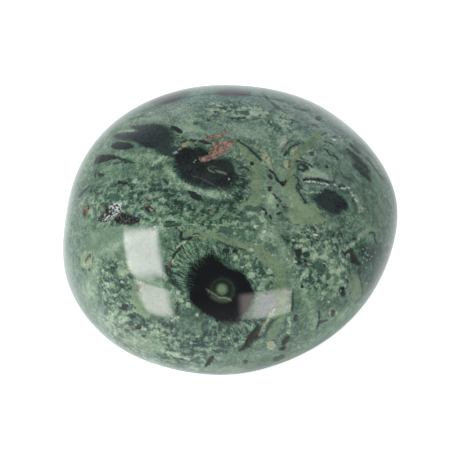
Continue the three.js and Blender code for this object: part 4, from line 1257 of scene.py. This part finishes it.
# The floor: a white sheet of card. The camera sees it glow, so that it stays white round the stone. The
# polish mirrors it duller, apart from the part under and behind the stone.
floorLook = dict(
    side=6000.0,          # mm
    drop=0.02,            # mm below the stone's foot
    color="#edf0f2",
    roughness=0.9,
    shine=0.1,
    glow=0.6,
    whiter=0.34,          # how much more of it the camera sees
    dull=-0.59,           # and how much more the polish does, in general and behind the stone
    clear=-0.17,
    clearWidth=(44, 76),  # mm from the middle, where the clear part ends at its sides
    clearFrom=(-28, -17),  # and where it begins at the front
    clearTurn=-0.35,
)
edge = floorLook["side"] / 2
floorCorners = np.array([[-edge, -edge, 0], [edge, -edge, 0], [edge, edge, 0], [-edge, edge, 0]])
floor = addMesh("floor", floorCorners - [0, 0, floorLook["drop"]], [[0, 1, 2, 3]])
card = bpy.data.materials.new("matt white card")
card.use_nodes = True
tree = card.node_tree
cardShader = tree.nodes["Principled BSDF"]
for socket, value in {
    "Base Color": rgba(floorLook["color"]), "Emission Color": rgba(floorLook["color"]),
    "Roughness": floorLook["roughness"], "Specular IOR Level": floorLook["shine"],
}.items():
    cardShader.inputs[socket].default_value = value
spot = add(tree, "SeparateXYZ", [add(tree, "TexCoord", [], "Object")])
aside = add(tree, "Math", [spot], operation="ABSOLUTE")
near, far = [end * mm for end in floorLook["clearWidth"]]
strip = add(tree, "MapRange", [aside, near, far, 1.0, 0.0], **smooth)
ahead = add(tree, "Math", [spot, floorLook["clearTurn"], spot.node.outputs[1]], operation="MULTIPLY_ADD")
near, far = [end * mm for end in floorLook["clearFrom"]]
behind = add(tree, "MapRange", [ahead, near, far, 0.0, 1.0])
clear = add(tree, "Math", [strip, behind], operation="MULTIPLY")
duller = add(tree, "MapRange", {0: clear, 3: floorLook["dull"], 4: floorLook["clear"]})
glow = floorLook["glow"]
for ray, change in (("Is Camera Ray", floorLook["whiter"]), ("Is Glossy Ray", duller)):
    seenBy = add(tree, "LightPath", [], ray)
    glow = add(tree, "Math", [seenBy, change, glow], operation="MULTIPLY_ADD")
tree.links.new(glow, cardShader.inputs["Emission Strength"])
floor.data.materials.append(card)

# The studio lights: azimuth, elevation and roll in degrees, width, height and distance from the
# stone's middle in mm, colour, radiance, and whether the polish mirrors them. The softboxes are placed
# from their reflections. The left side of each is as bright as a share of its right side, and the last
# four numbers are the shares of its size over which its left, right, lower and upper edges fade. A
# flare widens an opening towards its top, and a slant raises its left side. The wide fills give the even
# light that the stone is seen in.
lamps = [
    ("upper left softbox", -162.4, 49.1, -22.3, 475, 282, 700, (1.04, 0.97, 0.99), 7.3, True, 1.0,
     (0.22, 0.36, 0.16, 0.2)),
    ("lower left softbox", -123.8, 16.9, 22.4, 226, 448, 700, (1.05, 0.96, 0.94), 6.15, True, 1.0,
     (0.28, 0.4, 0.41, 0.1)),
    ("right softbox", -72.0, 17.9, -4.2, 304, 422, 700, (1.05, 0.99, 0.93), 4.0, True, 0.38,
     (0.12, 0.03, 0.14, 0.24)),
    ("overhead fill", 90, 76, 0, 1600, 1600, 1300, (1, 1, 0.98), 0.7, False, 1.0, None),
    ("left fill", -150, 42, 0, 900, 900, 1300, (1, 1, 1), 3.3, False, 1.0, None),
]
flares = {"lower left softbox": (0.45, 0.13)}
lampMargin = 0.42     # how much larger than its opening each softbox is, to hold the faded edges
wattsPerArea = 4      # for a radiance of 1, as Blender counts them
for (name, azimuth, elevation, roll, width, height, distance, color, radiance, mirrored, dim,
     fades) in lamps:
    lamp = bpy.data.lights.new(name, "AREA")
    lamp.shape = "RECTANGLE"
    grown = 1 + lampMargin if fades else 1
    lamp.size = width * grown * mm
    lamp.size_y = height * grown * mm
    lamp.color = color
    lamp.energy = wattsPerArea * lamp.size * lamp.size_y * radiance
    if fades:
        lamp.use_nodes = True
        tree = lamp.node_tree
        spread = add(tree, "SeparateXYZ", [add(tree, "NewGeometry", [], "Parametric")]).node.outputs
        strength = add(tree, "Math", [spread[0], 1 - dim, dim], operation="MULTIPLY_ADD")
        flare, slant = flares.get(name, (0, 0))
        fromMiddle = add(tree, "Math", [spread[0], -0.5], operation="ADD")
        wider = add(tree, "Math", [spread[1], flare, 1 - flare / 2], operation="MULTIPLY_ADD")
        sideways = add(tree, "Math", [fromMiddle, wider], operation="DIVIDE")
        sideways = add(tree, "Math", [sideways, 0.5], operation="ADD")
        upwards = add(tree, "Math", [fromMiddle, slant, spread[1]], operation="MULTIPLY_ADD")
        for side, fade in enumerate(fades):
            inward = 1 - 2 * (side % 2)
            edge = side % 2 + inward * (lampMargin / 2) / grown
            half = inward * fade / 2 / grown
            place = (sideways, upwards)[side // 2]
            shown = add(tree, "MapRange", [place, edge - half, edge + half, 0.0, 1.0], **smooth)
            strength = add(tree, "Math", [strength, shown], operation="MULTIPLY")
        tree.links.new(strength, tree.nodes["Emission"].inputs["Strength"])
    out = directionOf(azimuth, elevation)
    across = unit(np.cross([0, 0, 1], out))
    up = np.cross(out, across)
    turn = math.radians(roll)
    lampX = across * math.cos(turn) + up * math.sin(turn)
    lampY = up * math.cos(turn) - across * math.sin(turn)
    rig = addObject(name, lamp)
    aim(rig, lampX, lampY, out, out * distance + middle)
    rig.visible_camera = False
    rig.visible_glossy = mirrored
    rig.visible_diffuse = not mirrored

# The room: bright low down and dim overhead. The polish mirrors a white screen that stands behind the
# stone, between darker sides.
room = dict(
    color=(0.97, 1, 1.06, 1), low=1.3, high=0.18, lowUntil=0.05, highFrom=0.55,
    screen=1.08, side=0.36, sideUntil=0.7, screenFrom=0.94,
)
world = bpy.data.worlds.new("white cove")
bpy.context.scene.world = world
world.use_nodes = True
tree = world.node_tree
heading = add(tree, "SeparateXYZ", [add(tree, "TexCoord", [], "Generated")]).node.outputs
mirrored = add(tree, "MapRange", [
    heading[1], room["sideUntil"], room["screenFrom"], room["side"], room["screen"],
], **smooth)
low = add(tree, "Mix", {0: add(tree, "LightPath", [], "Is Glossy Ray"), 2: room["low"], 3: mirrored})
level = add(tree, "MapRange", [heading[2], room["lowUntil"], room["highFrom"], low, room["high"]], **smooth)
tree.links.new(level, tree.nodes["Background"].inputs["Strength"])
tree.nodes["Background"].inputs["Color"].default_value = room["color"]

# The camera, at the photograph's height, distance and aim.
lens = bpy.data.cameras.new("camera")
lens.sensor_width = photo["sensor"]
lens.lens = photo["sensor"] * photo["pixelsPerMm"] * photo["distance"] / photo["size"]
lens.clip_start = photo["nearest"] * mm
lens.clip_end = photo["farthest"] * mm
camera = addObject("camera", lens)
aim(camera, photoRight, photoUp, photoBack, photoEye + middle)
bpy.context.scene.camera = camera
bpy.context.scene.view_settings.view_transform = "Standard"
print("stage set")
